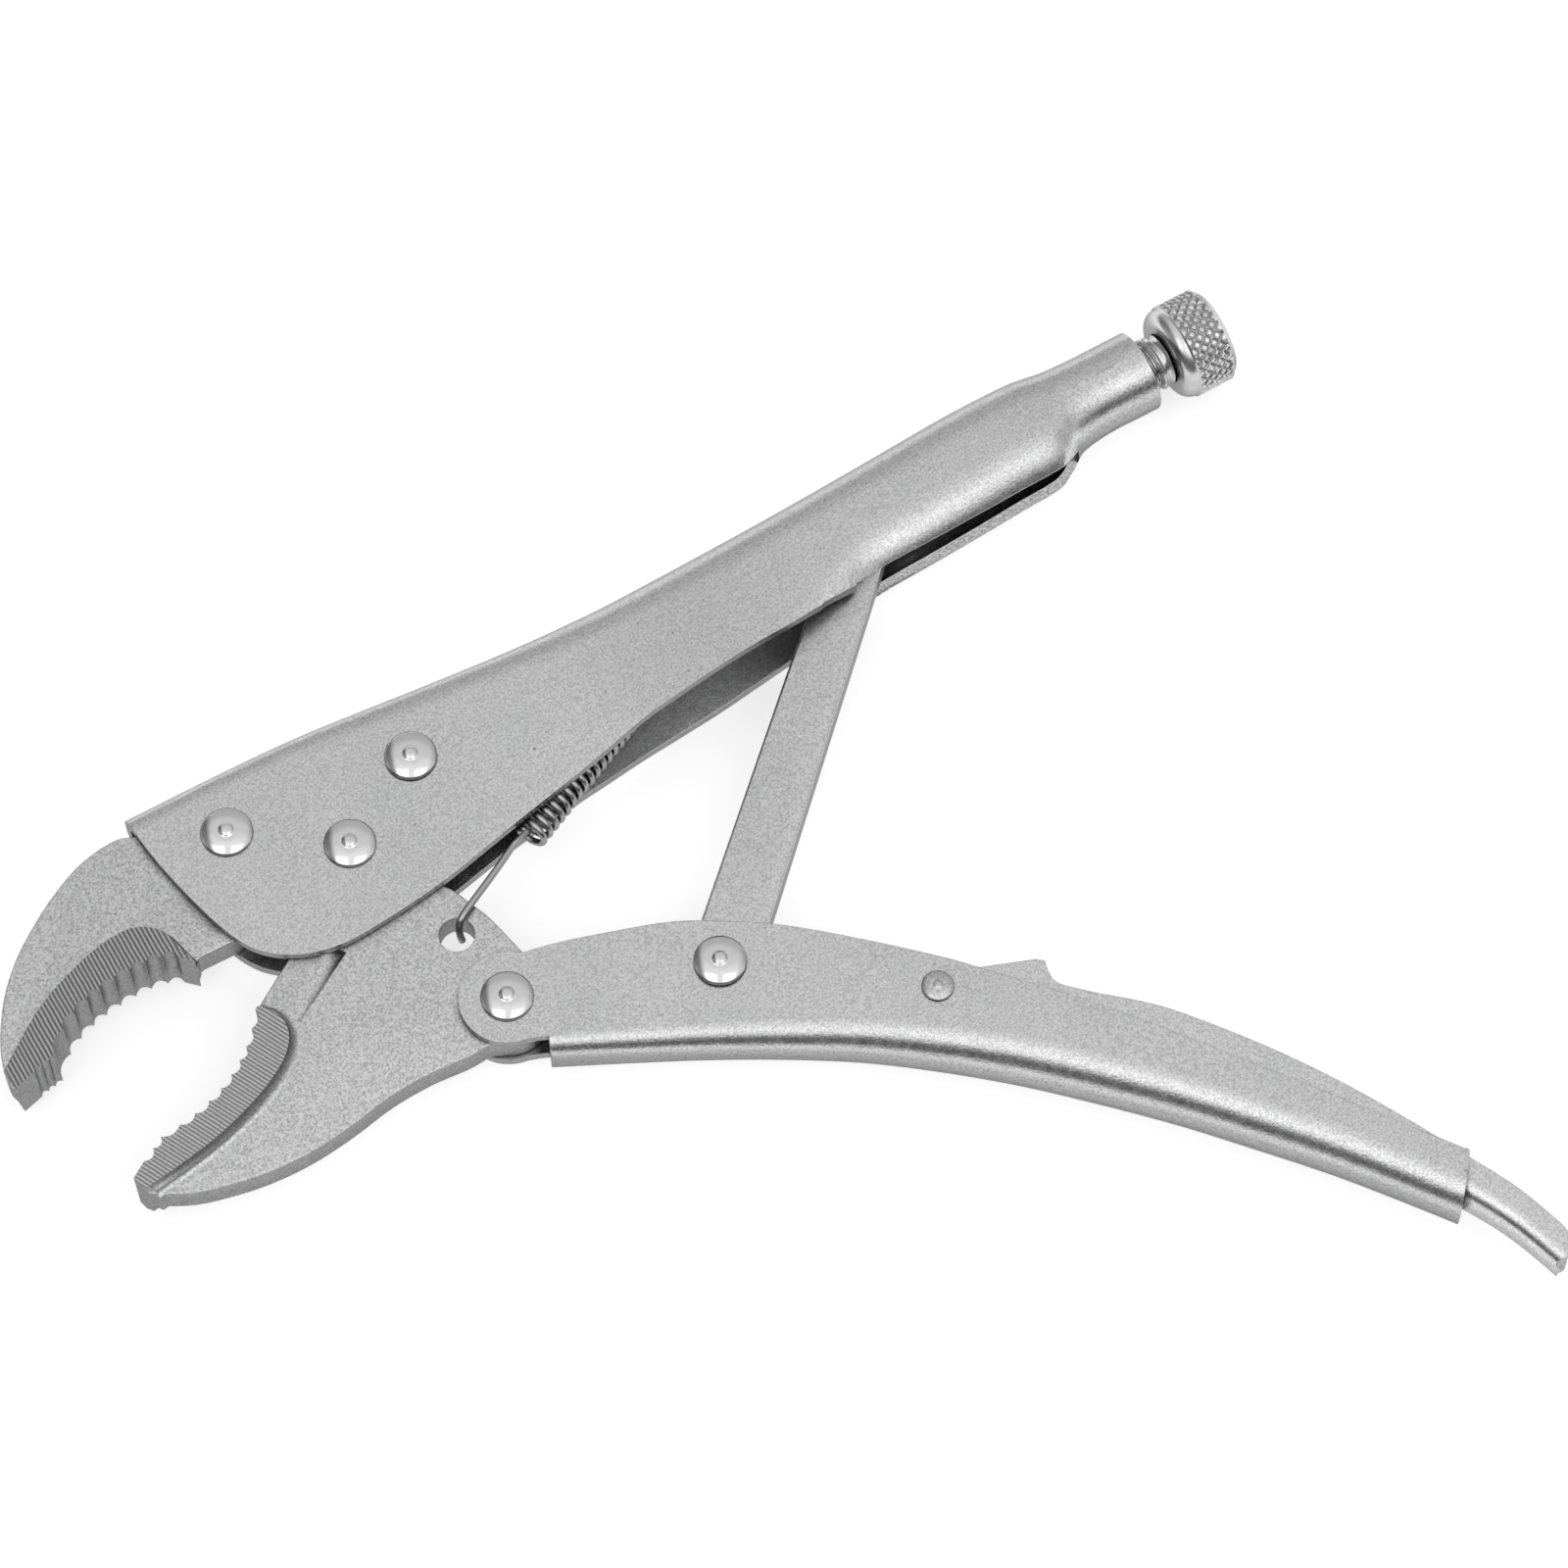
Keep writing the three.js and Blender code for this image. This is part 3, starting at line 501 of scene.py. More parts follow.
def trough(name, stations, shrink, tall, reach=0.0):
    """A channel whose closed side follows the stations, tall enough to be trimmed by a side outline."""
    rows = [list(row) for row in spline(stations, 6)]
    for end, following in ((0, 1), (-1, -2)):
        away = (Vector(rows[end][:2]) - Vector(rows[following][:2])).normalized() * reach
        rows[end][0] += away.x
        rows[end][1] += away.y
    rings = []
    for i, (x, y, half, radius) in enumerate(rows):
        before = rows[max(0, i - 1)]
        after = rows[min(len(rows) - 1, i + 1)]
        heading = (Vector(after[:2]) - Vector(before[:2])).normalized()
        rings.append(rounded_ring(
            half - shrink, shrink, tall, radius - shrink, 0.2, 0.2,
            lambda z, h, x=x, y=y, d=heading: (x - d.y * h, y + d.x * h, z),
        ))
    return loft(name, rings)


def moving_handle():
    top = spline([
        (20.2, -33.1), (26.6, -35.0), (39.4, -39.5), (47.4, -43.9), (56.4, -50.1), (66.3, -58.9),
        (76.1, -68.4), (81.4, -74.2), (92.4, -86.6), (99.8, -95.7), (107.7, -106.1), (116.1, -117.3),
        (124.4, -128.6), (134.0, -141.6),
    ], 5)
    end = spline([(134.0, -141.6), (134.3, -142.6), (131.2, -146.6), (128.0, -150.4)], 5)
    front = [(11.3, -60), (11.3, -49.6), (17.3, -37.0), (18.8, -33.6)]
    outline = front + top + end[1:] + [(124, -156), (60, -96)]
    ear = arc(HANDLE_PIVOT, EAR_R, 44, 262, 48) + [
        (10.8, -46.9), (14.5, -48.6), (24, -51), (30, -46), (30, -38), (26.6, -35.0), (20.2, -33.1),
    ]
    back = keep_inside(
        trough("moving_handle_sheet", MOVING_STATIONS, 0, 40),
        prism("clip", outline, -CLIP_HALF, CLIP_HALF),
    )
    back = cut(back, trough("cavity", MOVING_STATIONS, SHEET, 45, 1))
    ears = cut(
        prism("ears", ear, -EAR_HALF, EAR_HALF),
        block("gap", (-20, -90, -GAP_HALF), (60, 0, GAP_HALF)),
    )
    return cut(
        join(back, ears),
        hole(HANDLE_PIVOT),
        hole(LINK_PIVOT),
        hole(LEVER_PIVOT, SMALL_HOLE_R),
    )


def release_lever():
    bump = [(64.5, -68.6), (73.5, -68.9), (78.2, -70.6), (81.2, -72.6), (90.3, -76.2), (91.5, -77.2)]
    step = spline([(91.5, -77.2), (91.0, -79.3), (91.1, -81.4), (92.9, -83.6), (96.3, -86.9)], 6)
    rail = spline([
        (96.3, -86.9), (101.9, -91.9), (106.6, -97.0), (115.0, -108.2), (122.8, -120.3), (129.8, -133.2),
        (134.3, -142.5), (138.6, -151.5), (141.4, -160.2),
    ], 6)
    tip = spline([(141.4, -160.2), (141.5, -163.0), (139.6, -165.4), (137.3, -165.2)], 6)
    under = [(136, -175), (60, -110), (70.5, -77.4), (66.5, -75.4), (61.8, -72)]
    outline = bump + step[1:] + rail[1:] + tip[1:] + under
    lever = keep_inside(
        trough("release_lever_sheet", LEVER_STATIONS, 0, 40),
        prism("clip", outline, -CLIP_HALF, CLIP_HALF),
    )
    return cut(
        lever,
        trough("cavity", LEVER_STATIONS, LEVER_SHEET, 45, 1),
        hole(LEVER_PIVOT, SMALL_HOLE_R, 32),
    )


# ---- jaws ----
UPPER_CRESTS = [
    (-65.4, -10.5), (-64.0, -10.25), (-62.6, -10.1), (-61.1, -9.8), (-57.7, -6.1), (-54.8, -4.5),
    (-51.9, -3.5), (-49.2, -2.9), (-46.3, -2.5), (-43.3, -2.3), (-40.4, -2.4), (-37.5, -2.9), (-35.0, -4.1),
]
LOWER_CRESTS = [
    (-28.2, -19.0), (-30.4, -21.8), (-32.7, -24.2), (-34.8, -25.8), (-37.2, -27.4), (-39.8, -28.7),
    (-42.6, -29.7), (-45.6, -30.5), (-48.8, -31.0), (-52.5, -31.3), (-54.6, -32.5), (-56.9, -33.8),
]
TOOTH_DEPTH = 1.0


def pad(name, back_line, tooth_line, flare):
    """A toothed pad proud of both faces of the jaw, with a concave fillet along its back."""
    steps = 10
    low = PLATE_HALF - 0.02
    rise = PAD_HALF - PLATE_HALF + 0.02
    levels = []
    for i in range(steps + 1):
        a = math.pi / 2 * i / steps
        levels.append((low + rise * (1 - math.cos(a)), flare * (1 - math.sin(a))))
    layers = []
    for z, out in [(-z, out) for z, out in reversed(levels)] + levels:
        moved = inset(back_line, -out)[1:-1]
        layers.append((z, [back_line[0]] + moved + [back_line[-1]] + tooth_line))
    return stack(name, layers)


def upper_jaw():
    teeth = scallops(UPPER_CRESTS, TOOTH_DEPTH)
    back = spline([
        (-20, 19.9), (-28, 19.9), (-31, 20.5), (-33.5, 21.4), (-37.5, 21.3), (-41.9, 20.3),
        (-46.8, 18.2), (-52.3, 15.0), (-58.1, 10.8), (-62.8, 6.1), (-66.2, 1.2), (-68.4, -3.0),
        (-69.6, -6.6), (-69.96, -9.2), (-69.2, -11.5),
    ], 5)
    outline = (
        [(23.2, 16.8), (15.5, 17.9), (1, 19.0), (-14, 19.7)] + back + teeth
        + [(-32.9, -6.2), (-32.2, -5.2), (-31.2, -5.0), (-24.7, -5.2)]
        + arc(MAIN_PIVOT, UPPER_HUB_R, 187, 20, 40) + [(20.5, 3.2), (24.2, 6.5), (24.9, 12.5)]
    )
    pad_back = spline([
        (-32.9, -6.2), (-34.0, -2.4), (-34.7, 0.4), (-35.9, 2.3), (-38.4, 4.1), (-41.8, 4.7), (-47.1, 4.0),
        (-53.1, 2.1), (-59.3, -0.6), (-66.0, -5.2), (-69.5, -7.8),
    ], 5)
    jaw = join(
        rounded_plate("upper_jaw_forging", outline, PLATE_HALF, JAW_EDGE_R, 6),
        pad("pad", pad_back, [(-69.2, -11.5)] + teeth, 1.0),
    )
    return cut(jaw, *[hole(at) for at in (FRONT_RIVET, REAR_RIVET)])


def lower_jaw():
    teeth = scallops(LOWER_CRESTS, TOOTH_DEPTH * 0.8)
    bottom = spline([
        (-58.0, -38.8), (-52.4, -41.8), (-46, -43.7), (-39.2, -44.9), (-31.9, -45.2), (-24, -44.5),
        (-15.7, -43.1), (-8.1, -42.8), (-1, -43.4), (3, -43.2),
    ], 5)
    outline = (
        arc(MAIN_PIVOT, LOWER_HUB_R, -40, 210, 48) + [(-19.2, -12.9), (-27.3, -17.9)] + teeth
        + [(-59.8, -35.6), (-59.4, -37.2)] + bottom
        + arc(HANDLE_PIVOT, LOWER_TAIL_R, 240, 355, 30)
        + spline([(16.9, -34.5), (16.0, -30.6), (14.4, -23.2), (12.6, -18.4), (11.2, -15.0), (9.0, -12.4)], 3)
    )
    pad_back = spline([
        (-58.6, -38.2), (-51.3, -37.2), (-45.9, -36.3), (-40.1, -34.8), (-34.1, -32.6), (-28.8, -29.7),
        (-25.8, -26.6), (-25.0, -23.6), (-25.7, -20.8), (-27.6, -18.7),
    ], 5)
    jaw = join(
        rounded_plate("lower_jaw_forging", outline, PLATE_HALF, JAW_EDGE_R, 6),
        pad("pad", pad_back, teeth + [(-59.8, -35.6), (-59.4, -37.2)], 1.8),
    )
    profile = [
        (0, -GROOVE_HALF), (GROOVE_LOW_R, -GROOVE_HALF), (GROOVE_HIGH_R, GROOVE_HALF), (0, GROOVE_HALF),
    ]
    turn = Matrix.Rotation(math.radians(GROOVE_ANGLE), 4, "Z")
    grooves = []
    for side in (-1, 1):
        groove = turned_x("groove", profile, 64, (0, 0, 0))
        to_side = Matrix.Translation((*GROOVE_AT, side * (PLATE_HALF + GROOVE_RISE)))
        groove.data.transform(to_side @ turn)
        grooves.append(groove)
    return cut(
        jaw,
        hole(MAIN_PIVOT),
        hole(HANDLE_PIVOT),
        hole(SPRING_HOLE, SPRING_HOLE_R),
        *grooves,
    )


def toggle_link():
    outline = tapered(LINK_PIVOT, LINK_LOW_R, LINK_TOP, LINK_TOP_R)
    plate = rounded_plate("toggle_link_bar", outline, PLATE_HALF, LINK_EDGE_R, 5)
    return cut(plate, hole(LINK_PIVOT))


# ---- turned pieces ----
def helix_body(name, start, end, sides, per_pitch, head, tail):
    """A threaded rod: each ring's radius follows a rounded V that winds along the axis."""
    rings = []
    count = int((end - start) / SCREW_PITCH * per_pitch)

    def ring(x, radius_at):
        points = []
        for i in range(sides):
            a = 2 * math.pi * i / sides
            radius = max(radius_at(a), 1e-3)
            points.append((x, SCREW_Y + radius * math.cos(a), radius * math.sin(a)))
        return points

    for radius, x in head:
        rings.append(ring(x, lambda a, r=radius: r))
    for k in range(count + 1):
        x = start + (end - start) * k / count
        fade = min(1.0, (x - start) / SCREW_PITCH + 0.2, (end - x) / SCREW_PITCH + 0.2)

        def radius_at(a, x=x, fade=fade):
            phase = (x / SCREW_PITCH - a / (2 * math.pi)) % 1.0
            flank = min(1.0, max(0.0, (abs(phase - 0.5) * 2 - THREAD_CREST) / THREAD_FLANK))
            return SCREW_R - THREAD_DEPTH * flank * fade

        rings.append(ring(x, radius_at))
    for radius, x in tail:
        rings.append(ring(x, lambda a, r=radius: r))
    return loft(name, rings)


def adjusting_screw():
    """A threaded rod with a rounded tip, a collar just before the knob and a plain spigot inside it."""
    tip = SCREW_TIP_X
    knob = KNOB_START_X
    spigot_end = KNOB_END_X - 3.3
    head = [(0, tip), (1.8, tip + 0.15), (3.2, tip + 0.8), (4.0, tip + 2.2), (4.15, tip + 4.2)]
    tail = [
        (4.1, knob - 1.6), (4.1, knob - 1.1), (4.3, knob - 0.7), (4.8, knob - 0.35),
        (SPIGOT_R, knob - 0.3), (SPIGOT_R, spigot_end), (0, spigot_end),
    ]
    return helix_body("screw_thread", tip + 4.4, knob - 1.7, 48, 12, head, tail)


def screw_knob():
    """A diamond knurl: two sets of crossing helical grooves, fading out at both ends of the barrel."""
    sides = KNURL_STARTS * 10
    barrel_start = KNOB_START_X + 2.7
    barrel_end = KNOB_END_X - 1.0
    rings = []

    def plain(radius, x):
        rings.append(circle_x(x, max(radius, 1e-3), sides))

    plain(0.0, KNOB_START_X + KNOB_BORE_DEPTH)
    plain(KNOB_BORE_R, KNOB_START_X + KNOB_BORE_DEPTH)
    plain(KNOB_BORE_R, KNOB_START_X)
    for i in range(9):
        a = math.pi / 2 * i / 8
        radius = KNOB_R - 2.7 + KNOB_ROUND_R * math.sin(a)
        plain(radius, KNOB_START_X + KNOB_ROUND_R - KNOB_ROUND_R * math.cos(a))
    count = 62
    for k in range(count + 1):
        x = barrel_start + (barrel_end - barrel_start) * k / count
        fade = min(1.0, k / 4, (count - k) / 4)
        ring = []
        for i in range(sides):
            turn = i / sides
            u = abs(((turn * KNURL_STARTS + x * KNURL_STARTS / KNURL_LEAD) % 1.0) * 2 - 1)
            v = abs(((turn * KNURL_STARTS - x * KNURL_STARTS / KNURL_LEAD) % 1.0) * 2 - 1)
            groove = max(0.0, 1 - 2.1 * min(u, v))
            radius = KNOB_R - KNURL_DEPTH * groove * fade
            a = 2 * math.pi * turn
            ring.append((x, SCREW_Y + radius * math.cos(a), radius * math.sin(a)))
        rings.append(ring)
    plain(KNOB_R - 1.0, KNOB_END_X - 0.05)
    plain(KNOB_R - 1.2, KNOB_END_X)
    plain(0.0, KNOB_END_X)
    return loft("screw_knob_knurled", rings)


# A formed head as shares of its radius and rise: a rim, a low dome and a small centre bump.
HEAD_SHAPE = [
    (0.97, 0.0), (1.0, 0.03), (1.0, 0.12), (0.985, 0.19), (0.93, 0.30), (0.84, 0.43),
    (0.72, 0.555), (0.58, 0.665), (0.47, 0.715), (0.38, 0.73), (0.33, 0.735), (0.29, 0.76),
    (0.26, 0.83), (0.21, 0.92), (0.14, 0.98), (0.06, 0.998), (0.0, 1.0),
]


def rivet(name, at, seat, shank=SHANK_R, head=HEAD_R, rise=HEAD_RISE):
    """A pin with a formed head at each end."""
    sides = 64
    low = seat + SEAT_GAP
    upper = [(shank, low)] + [(head * out, low + rise * up) for out, up in HEAD_SHAPE]
    profile = [(r, -z) for r, z in reversed(upper)] + upper
    rings = []
    for radius, z in profile:
        radius = max(radius, 1e-3)
        rings.append([
            (at[0] + radius * math.cos(a), at[1] + radius * math.sin(a), z)
            for a in (2 * math.pi * i / sides for i in range(sides))
        ])
    return loft(name, rings)


# ---- spring ----
def sweep(name, path, radius, sides):
    """A round wire along a path, its frame carried along without twist."""
    path = [Vector(p) for p in path]
    rings = []
    normal = None
    for i, point in enumerate(path):
        tangent = (path[min(i + 1, len(path) - 1)] - path[max(i - 1, 0)]).normalized()
        if normal is None:
            normal = Vector((0, 0, 1)).cross(tangent).normalized()
        normal = (normal - tangent * normal.dot(tangent)).normalized()
        side = tangent.cross(normal)
        ring = []
        for k in range(sides):
            a = 2 * math.pi * k / sides
            ring.append(tuple(point + (normal * math.cos(a) + side * math.sin(a)) * radius))
        rings.append(ring)
    return loft(name, rings)


def spring_path():
    start = Vector((*COIL_START, 0))
    axis = Vector((ANCHOR[0] - COIL_START[0], ANCHOR[1] - COIL_START[1], 0)).normalized()
    across = Vector((-axis.y, axis.x, 0))
    turns = round(COIL_LENGTH / COIL_PITCH)
    per_turn = 28
    coil = []
    for i in range(turns * per_turn + 1):
        a = 2 * math.pi * i / per_turn
        along = axis * (COIL_LENGTH * i / (turns * per_turn))
        around = across * (COIL_R * math.sin(a)) + Vector((0, 0, COIL_R * math.cos(a)))
        coil.append(start + along + around)
    hx, hy = SPRING_HOLE
    front = spline([
        (hx + 0.9, hy + 0.1, -0.9), (hx + 0.8, hy + 0.6, 1.2), (hx + 1.3, hy + 1.4, 3.1),
        (hx + 3.2, hy + 2.6, 4.0), (hx + 11.1, hy + 6.8, 3.3), (hx + 16.6, hy + 10.0, 2.65),
    ], 6)
    end = start + axis * COIL_LENGTH
    ax, ay = ANCHOR
    rear = spline([
        (end.x + 1.6, end.y + 0.4, 2.4), (ax - 3.4, ay - 1.2, 2.3), (ax - 0.7, ay - 0.2, 1.75),
        (ax - 0.1, ay - 0.1, 0.6), (ax - 0.1, ay - 0.1, -1.1),
    ], 5)
    return front + coil + rear


# ---- materials ----
class Nodes:
    """A small helper for building a node material."""

    def __init__(self, name):
        self.material = bpy.data.materials.new(name)
        self.material.use_nodes = True
        self.tree = self.material.node_tree
        self.shader = self.tree.nodes["Principled BSDF"]
        self.shader.inputs["Specular Tint"].default_value = (0.45, 0.45, 0.45, 1)
        self.where = self.add("ShaderNodeTexCoord").outputs["Object"]

    def add(self, kind, **settings):
        node = self.tree.nodes.new(kind)
        for key, value in settings.items():
            setattr(node, key, value)
        return node

    def link(self, a, b):
        self.tree.links.new(a, b)

    def noise(self, scale, detail=2.0, roughness=0.5):
        node = self.add("ShaderNodeTexNoise")
        node.inputs["Scale"].default_value = scale
        node.inputs["Detail"].default_value = detail
        node.inputs["Roughness"].default_value = roughness
        self.link(self.where, node.inputs["Vector"])
        return node.outputs["Fac"]

    def ramp(self, value, *stops):
        node = self.add("ShaderNodeValToRGB")
        elements = node.color_ramp.elements
        while len(elements) < len(stops):
            elements.new(0.5)
        for element, (position, level) in zip(elements, stops):
            element.position = position
            element.color = (level, level, level, 1) if isinstance(level, float) else (*level, 1)
        self.link(value, node.inputs["Fac"])
        return node.outputs["Color"]

    def multiply(self, a, b):
        node = self.add("ShaderNodeMix", data_type="RGBA", blend_type="MULTIPLY")
        node.inputs["Factor"].default_value = 1.0
        self.link(a, node.inputs[6])
        self.link(b, node.inputs[7])
        return node.outputs[2]

    def bump(self, height, distance, strength, below):
        node = self.add("ShaderNodeBump")
        node.inputs["Strength"].default_value = strength
        node.inputs["Distance"].default_value = distance
        self.link(height, node.inputs["Height"])
        self.link(below, node.inputs["Normal"])
        return node.outputs["Normal"]

    def rounded_edges(self, radius):
        node = self.add("ShaderNodeBevel", samples=6)
        node.inputs["Radius"].default_value = radius
        return node.outputs["Normal"]

    def turned(self, angle):
        node = self.add("ShaderNodeMapping")
        node.inputs["Rotation"].default_value = (0, 0, math.radians(angle))
        self.link(self.where, node.inputs["Vector"])
        return node.outputs["Vector"]


def paint_side_and_crevice_shade(n, colour, wall_shade):
    """Paints shade into the colour: faces that turn away from upright are darkened as painted shade, and
    crevices get a painted contact shadow.
    """
    split = n.add("ShaderNodeSeparateXYZ")
    n.link(n.add("ShaderNodeTexCoord").outputs["Normal"], split.inputs[0])
    upright = n.add("ShaderNodeMath", operation="ABSOLUTE")
    n.link(split.outputs["Z"], upright.inputs[0])
    # Painted shade: a face standing on edge has its colour darkened, down to the given share.
    colour = n.multiply(colour, n.ramp(upright.outputs[0], (0.28, wall_shade), (0.56, 1.0)))
    # Painted shadow: ambient occlusion darkens the colour in crevices, between parts and around rivet heads.
    crevice_shadow = n.add("ShaderNodeAmbientOcclusion", samples=6)
    crevice_shadow.inputs["Distance"].default_value = 0.0011
    return n.multiply(colour, n.ramp(crevice_shadow.outputs["AO"], (0.35, 0.30), (0.72, 1.0)))


def plated(name, tone, rough, grain, edge=0.00022, flecks=True, mottle=0.60, wall_shade=0.72):
    """Satin zinc or nickel plating over a peened surface: fine grain, soft mottling, a few dark specks, with
    painted shade on its sides and a painted shadow in its crevices.
    """
    n = Nodes(name)
    fine = n.noise(2450, 3, 0.7)
    coarse = n.noise(700, 3, 0.55)
    cloud = n.noise(55, 3, 0.55)
    colour = n.ramp(cloud, (0.30, (tone * 0.955, tone * 0.958, tone * 0.962)), (0.70, (tone, tone, tone)))
    colour = n.multiply(colour, n.ramp(fine, (0.34, mottle), (0.60, 1.0)))
    if flecks:
        speck = n.noise(1100, 1, 0.4)
        colour = n.multiply(colour, n.ramp(speck, (0.185, 0.40), (0.215, 1.0)))
    n.link(paint_side_and_crevice_shade(n, colour, wall_shade), n.shader.inputs["Base Color"])
    n.shader.inputs["Metallic"].default_value = 1.0
    n.link(n.ramp(coarse, (0.25, rough - 0.06), (0.75, rough + 0.06)), n.shader.inputs["Roughness"])
    normal = n.rounded_edges(edge)
    normal = n.bump(coarse, 0.00006, grain * 0.55, normal)
    normal = n.bump(fine, 0.00006, grain, normal)
    n.link(normal, n.shader.inputs["Normal"])
    return n.material


def polished(name, tone, rough, edge=0.0001):
    """Bright turned or formed steel with faint scuffs, with painted shade on its sides and a painted shadow
    in its crevices, such as the dark ring at a rivet head's rim.
    """
    n = Nodes(name)
    cloud = n.noise(900, 3, 0.6)
    colour = n.ramp(cloud, (0.3, tone * 0.93), (0.7, tone))
    n.link(paint_side_and_crevice_shade(n, colour, 0.75), n.shader.inputs["Base Color"])
    n.shader.inputs["Metallic"].default_value = 1.0
    scuffs = n.ramp(n.noise(1500, 3, 0.6), (0.3, rough * 0.8), (0.7, rough * 1.3))
    n.link(scuffs, n.shader.inputs["Roughness"])
    normal = n.bump(n.noise(700, 2, 0.5), 0.00004, 0.35, n.rounded_edges(edge))
    n.link(normal, n.shader.inputs["Normal"])
    return n.material


def ribbed(name, low, high, pitch, angle):
    """The milled side of a toothed pad: regular parallel cutter marks, their normal turned by the angle."""
    n = Nodes(name)
    wave = n.add("ShaderNodeTexWave", wave_type="BANDS", bands_direction="X", wave_profile="SIN")
    wave.inputs["Scale"].default_value = 2 * math.pi / 20 / pitch
    wave.inputs["Distortion"].default_value = 1.1
    wave.inputs["Detail"].default_value = 2.0
    wave.inputs["Detail Scale"].default_value = 0.6
    n.link(n.turned(-angle), wave.inputs["Vector"])
    marks = wave.outputs["Fac"]
    colour = n.ramp(marks, (0.10, low), (0.80, high))
    grain = n.ramp(n.noise(2200, 3, 0.65), (0.28, 0.76), (0.66, 1.0))
    n.link(n.multiply(colour, grain), n.shader.inputs["Base Color"])
    n.shader.inputs["Metallic"].default_value = 1.0
    n.shader.inputs["Roughness"].default_value = 0.42
    normal = n.bump(marks, 0.00012, 0.8, n.rounded_edges(0.00012))
    n.link(n.bump(n.noise(2400, 2, 0.6), 0.00003, 0.5, normal), n.shader.inputs["Normal"])
    return n.material


# ---- finishing ----
def finish(obj, node, body, material, crease=32):
    """Puts a piece in its place, gives it its look, hangs it under the empty of its body and hides the CAD
    node it stands in for.
    """
    mesh = obj.data
    to_row_frame(mesh)
    mesh.shade_smooth()
    mesh.set_sharp_from_angle(angle=math.radians(crease))
    mesh.materials.clear()
    mesh.materials.append(material)
    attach(obj, body)
    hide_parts(node)
    return obj


def paint_pad(obj, material):
    """The flat outer sides of a toothed pad carry the cutter marks."""
    mesh = obj.data
    mesh.materials.append(material)
    level = (PAD_HALF - 0.01) / 1000
    for polygon in mesh.polygons:
        if abs(polygon.normal.z) > 0.95 and abs(polygon.center.z - ORIGIN.z) > level:
            polygon.material_index = 1


def build():
    # Every metal material below carries painted shade on its sides and a painted shadow in its crevices; the
    # sheet and jaw ones set how dark their sides get.
    sheet = plated("plated_sheet", 0.78, 0.23, 0.8, wall_shade=0.60)
    forged = plated("forged_jaw", 0.80, 0.34, 0.9, mottle=0.50, wall_shade=0.56)
    bar = plated("plated_bar", 0.78, 0.34, 0.6)
    lever = plated("lever_sheet", 0.82, 0.27, 0.5, wall_shade=0.9)
    bright = polished("rivet_steel", 0.78, 0.13)
    satin = plated("rivet_satin", 0.70, 0.33, 0.3, flecks=False)
    screw = polished("screw_steel", 0.74, 0.22)
    knurl = polished("knob_steel", 0.74, 0.24, 0.00008)
    wire = polished("spring_wire", 0.50, 0.28)
    finish(fixed_handle(), "fixed_handle", "fixed_frame", sheet)
    finish(moving_handle(), "moving_handle", "moving_handle", sheet)
    finish(release_lever(), "release_lever", "release_lever", lever)
    finish(toggle_link(), "toggle_link", "toggle_link", bar)
    upper = finish(upper_jaw(), "upper_jaw", "fixed_frame", forged, 20)
    paint_pad(upper, ribbed("upper_pad_marks", 0.18, 0.58, 0.00073, 0))
    lower = finish(lower_jaw(), "lower_jaw", "lower_jaw", forged, 20)
    paint_pad(lower, ribbed("lower_pad_marks", 0.30, 0.64, 0.00065, 26.7))
    finish(adjusting_screw(), "adjusting_screw", "screw", screw)
    finish(screw_knob(), "screw_knob", "knob", knurl, 24)
    for name, at, seat, body in (
        ("front_jaw_rivet", FRONT_RIVET, FLAT_SEAT, "fixed_frame"),
        ("rear_jaw_rivet", REAR_RIVET, REAR_SEAT, "fixed_frame"),
        ("main_pivot_rivet", MAIN_PIVOT, FLAT_SEAT, "fixed_frame"),
        ("handle_pivot_rivet", HANDLE_PIVOT, FLAT_SEAT, "moving_handle"),
        ("link_rivet", LINK_PIVOT, LINK_SEAT, "moving_handle"),
    ):
        finish(rivet(name + "_formed", at, seat), name, body, bright)
    small = rivet(
        "lever_rivet_formed", LEVER_PIVOT, LEVER_SEAT, SMALL_SHANK_R, SMALL_HEAD_R, SMALL_HEAD_RISE
    )
    finish(small, "lever_rivet", "moving_handle", satin)
    spring = sweep("tension_spring_wire", spring_path(), WIRE_R, 12)
    mesh = spring.data
    to_row_frame(mesh)
    mesh.shade_smooth()
    mesh.materials.append(wire)
    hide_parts("tension_spring")
    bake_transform(spring)


# ---- stage ----
def floor():
    """A white table, lit partly from within so that it keeps only a faint shadow."""
    half = FLOOR_HALF
    corners = [(-half, -half, 0), (half, -half, 0), (half, half, 0), (-half, half, 0)]
    obj = new_object("floor", corners, [(0, 1, 2, 3)])
    n = Nodes("floor_pale")
    n.link(n.ramp(n.noise(3, 2), (0.3, 0.86), (0.7, 0.88)), n.shader.inputs["Base Color"])
    n.shader.inputs["Roughness"].default_value = 0.9
    n.shader.inputs["Specular IOR Level"].default_value = 0.1
    n.shader.inputs["Emission Color"].default_value = (1, 1, 1, 1)
    n.shader.inputs["Emission Strength"].default_value = FLOOR_GLOW
    obj.data.materials.append(n.material)


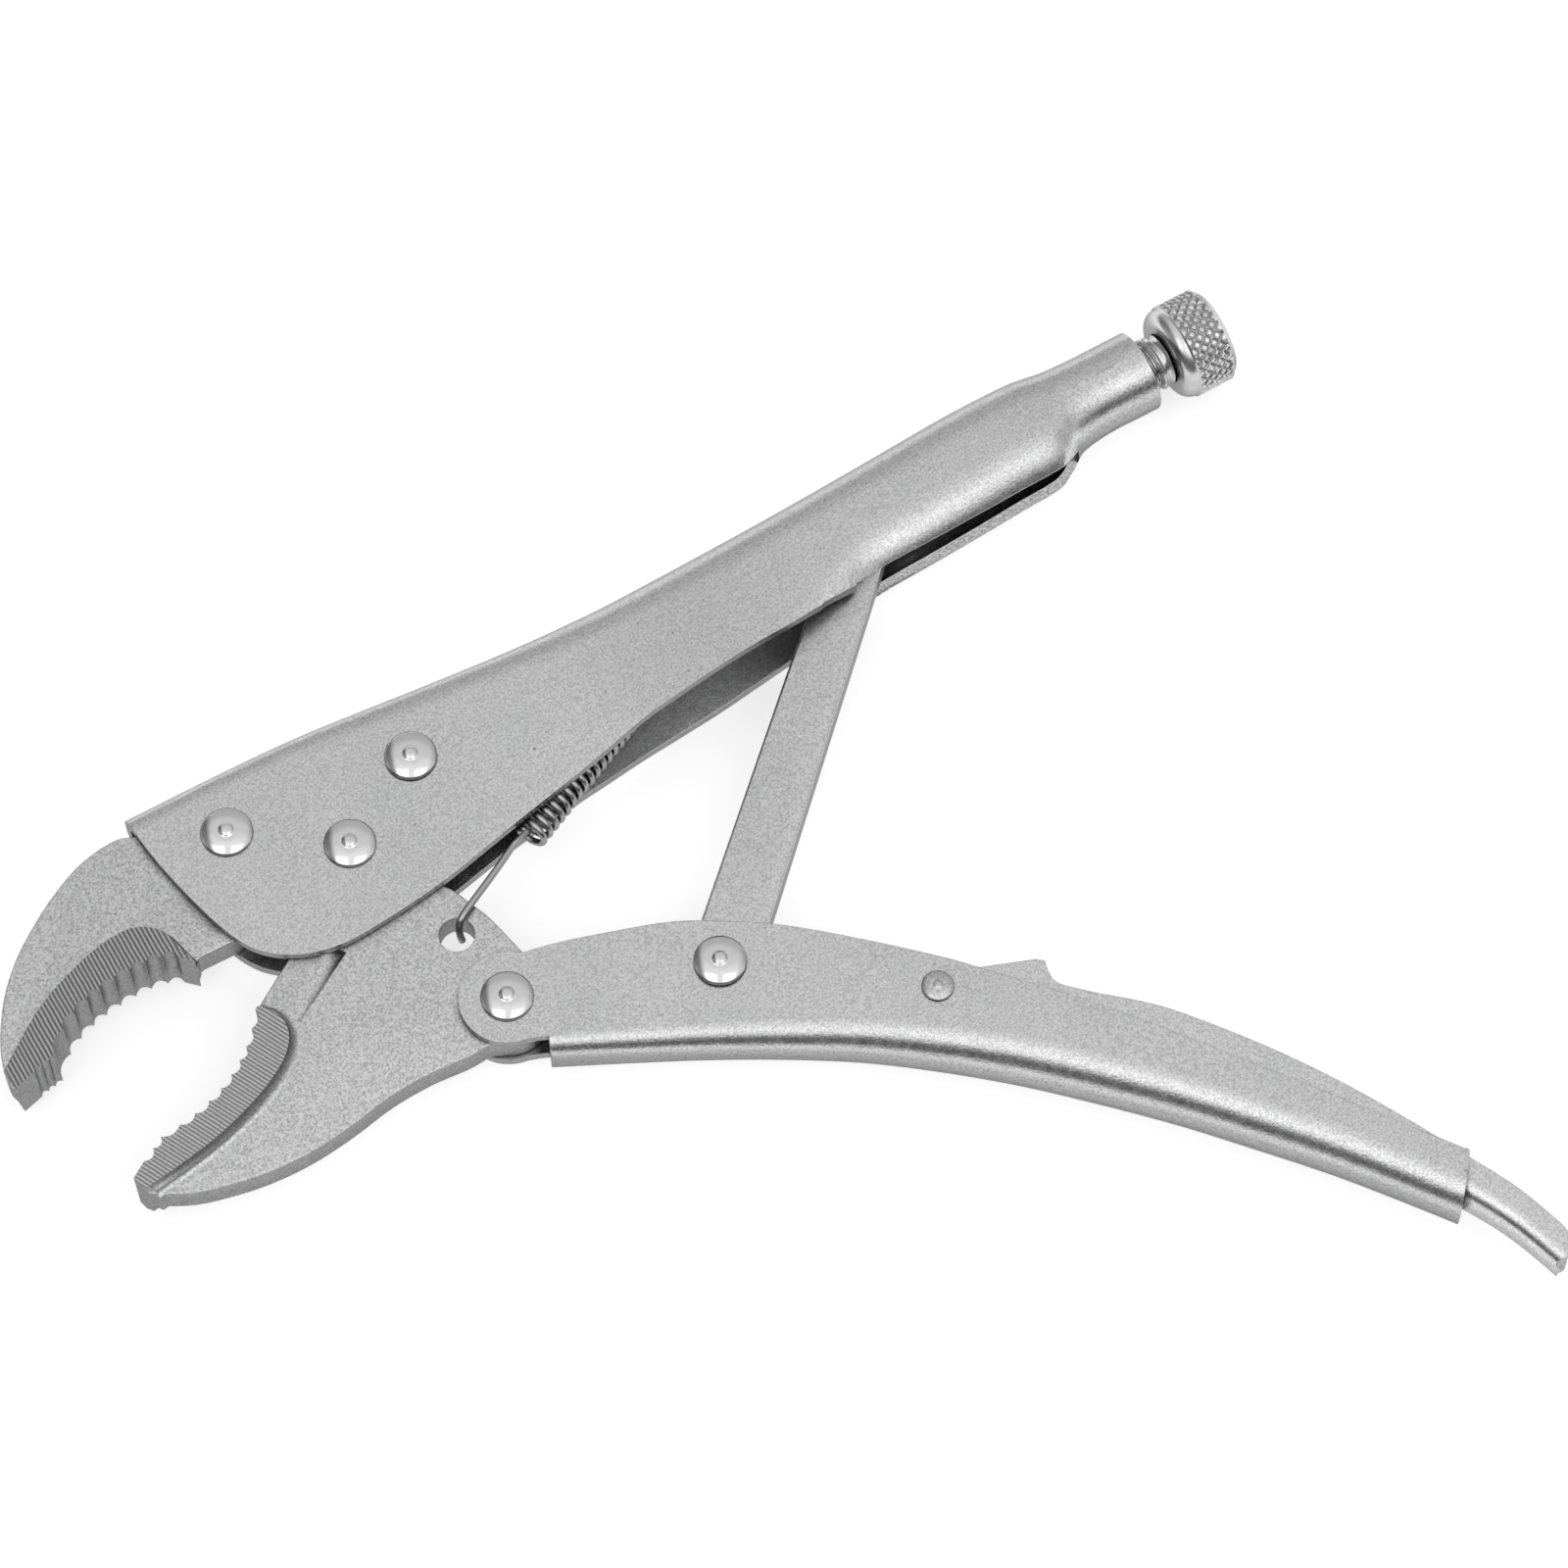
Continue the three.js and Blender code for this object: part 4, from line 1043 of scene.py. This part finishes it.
def studio():
    """The soft surroundings of a product table, as brightness over direction."""
    world = bpy.data.worlds.new("studio")
    bpy.context.scene.world = world
    world.use_nodes = True
    tree = world.node_tree
    where = tree.nodes.new("ShaderNodeTexCoord").outputs["Generated"]

    def maths(operation, a, b=None):
        node = tree.nodes.new("ShaderNodeMath")
        node.operation = operation
        for socket, value in zip(node.inputs, (a, b)):
            if isinstance(value, (int, float)):
                socket.default_value = value
            elif value is not None:
                tree.links.new(value, socket)
        return node.outputs[0]

    def along(axis):
        node = tree.nodes.new("ShaderNodeVectorMath")
        node.operation = "DOT_PRODUCT"
        tree.links.new(where, node.inputs[0])
        node.inputs[1].default_value = axis
        return node.outputs["Value"]

    def curve(value, stops, low, high):
        node = tree.nodes.new("ShaderNodeValToRGB")
        elements = node.color_ramp.elements
        while len(elements) < len(stops):
            elements.new(0.5)
        for element, (at, level) in zip(elements, stops):
            element.position = (at - low) / (high - low)
            element.color = (level, level, level, 1)
        scaled = maths("DIVIDE", maths("SUBTRACT", value, low), high - low)
        tree.links.new(scaled, node.inputs["Fac"])
        return node.outputs["Color"]

    forward = along(TOWARDS_CAMERA)
    sideways = along(TO_THE_RIGHT)
    angle = maths("DEGREES", maths("ARCTAN2", forward, maths("MAXIMUM", along((0, 0, 1)), 0.001)))
    sky = maths("MULTIPLY", curve(angle, SKY, -90, 90), curve(sideways, SIDE_DIM, -1, 1))
    box = maths("MULTIPLY", curve(angle, BOX_HEIGHT, -90, 90), curve(sideways, BOX_SIDE, -1, 1))
    glow = maths("ADD", sky, maths("MULTIPLY", box, BOX_GLOW))
    background = tree.nodes["Background"]
    background.inputs["Color"].default_value = (1, 1, 1, 1)
    tree.links.new(glow, background.inputs["Strength"])


def camera():
    """The photograph's view: from above the near side, with the tool turned in the frame."""
    data = bpy.data.cameras.new("camera")
    data.lens = LENS
    data.sensor_width = FILM_WIDTH
    data.clip_start = 0.01
    obj = bpy.data.objects.new("camera", data)
    bpy.context.scene.collection.objects.link(obj)
    target = ORIGIN + Vector(VIEW_CENTRE) / 1000
    level = math.cos(LIFT)
    away = Vector((-math.sin(TURN) * level, -math.cos(TURN) * level, math.sin(LIFT)))
    obj.location = target + away * DISTANCE
    obj.rotation_euler = (-away).to_track_quat("-Z", "Y").to_euler()
    bpy.context.scene.camera = obj


build()
floor()
studio()
camera()
bpy.context.scene.view_settings.view_transform = "Standard"
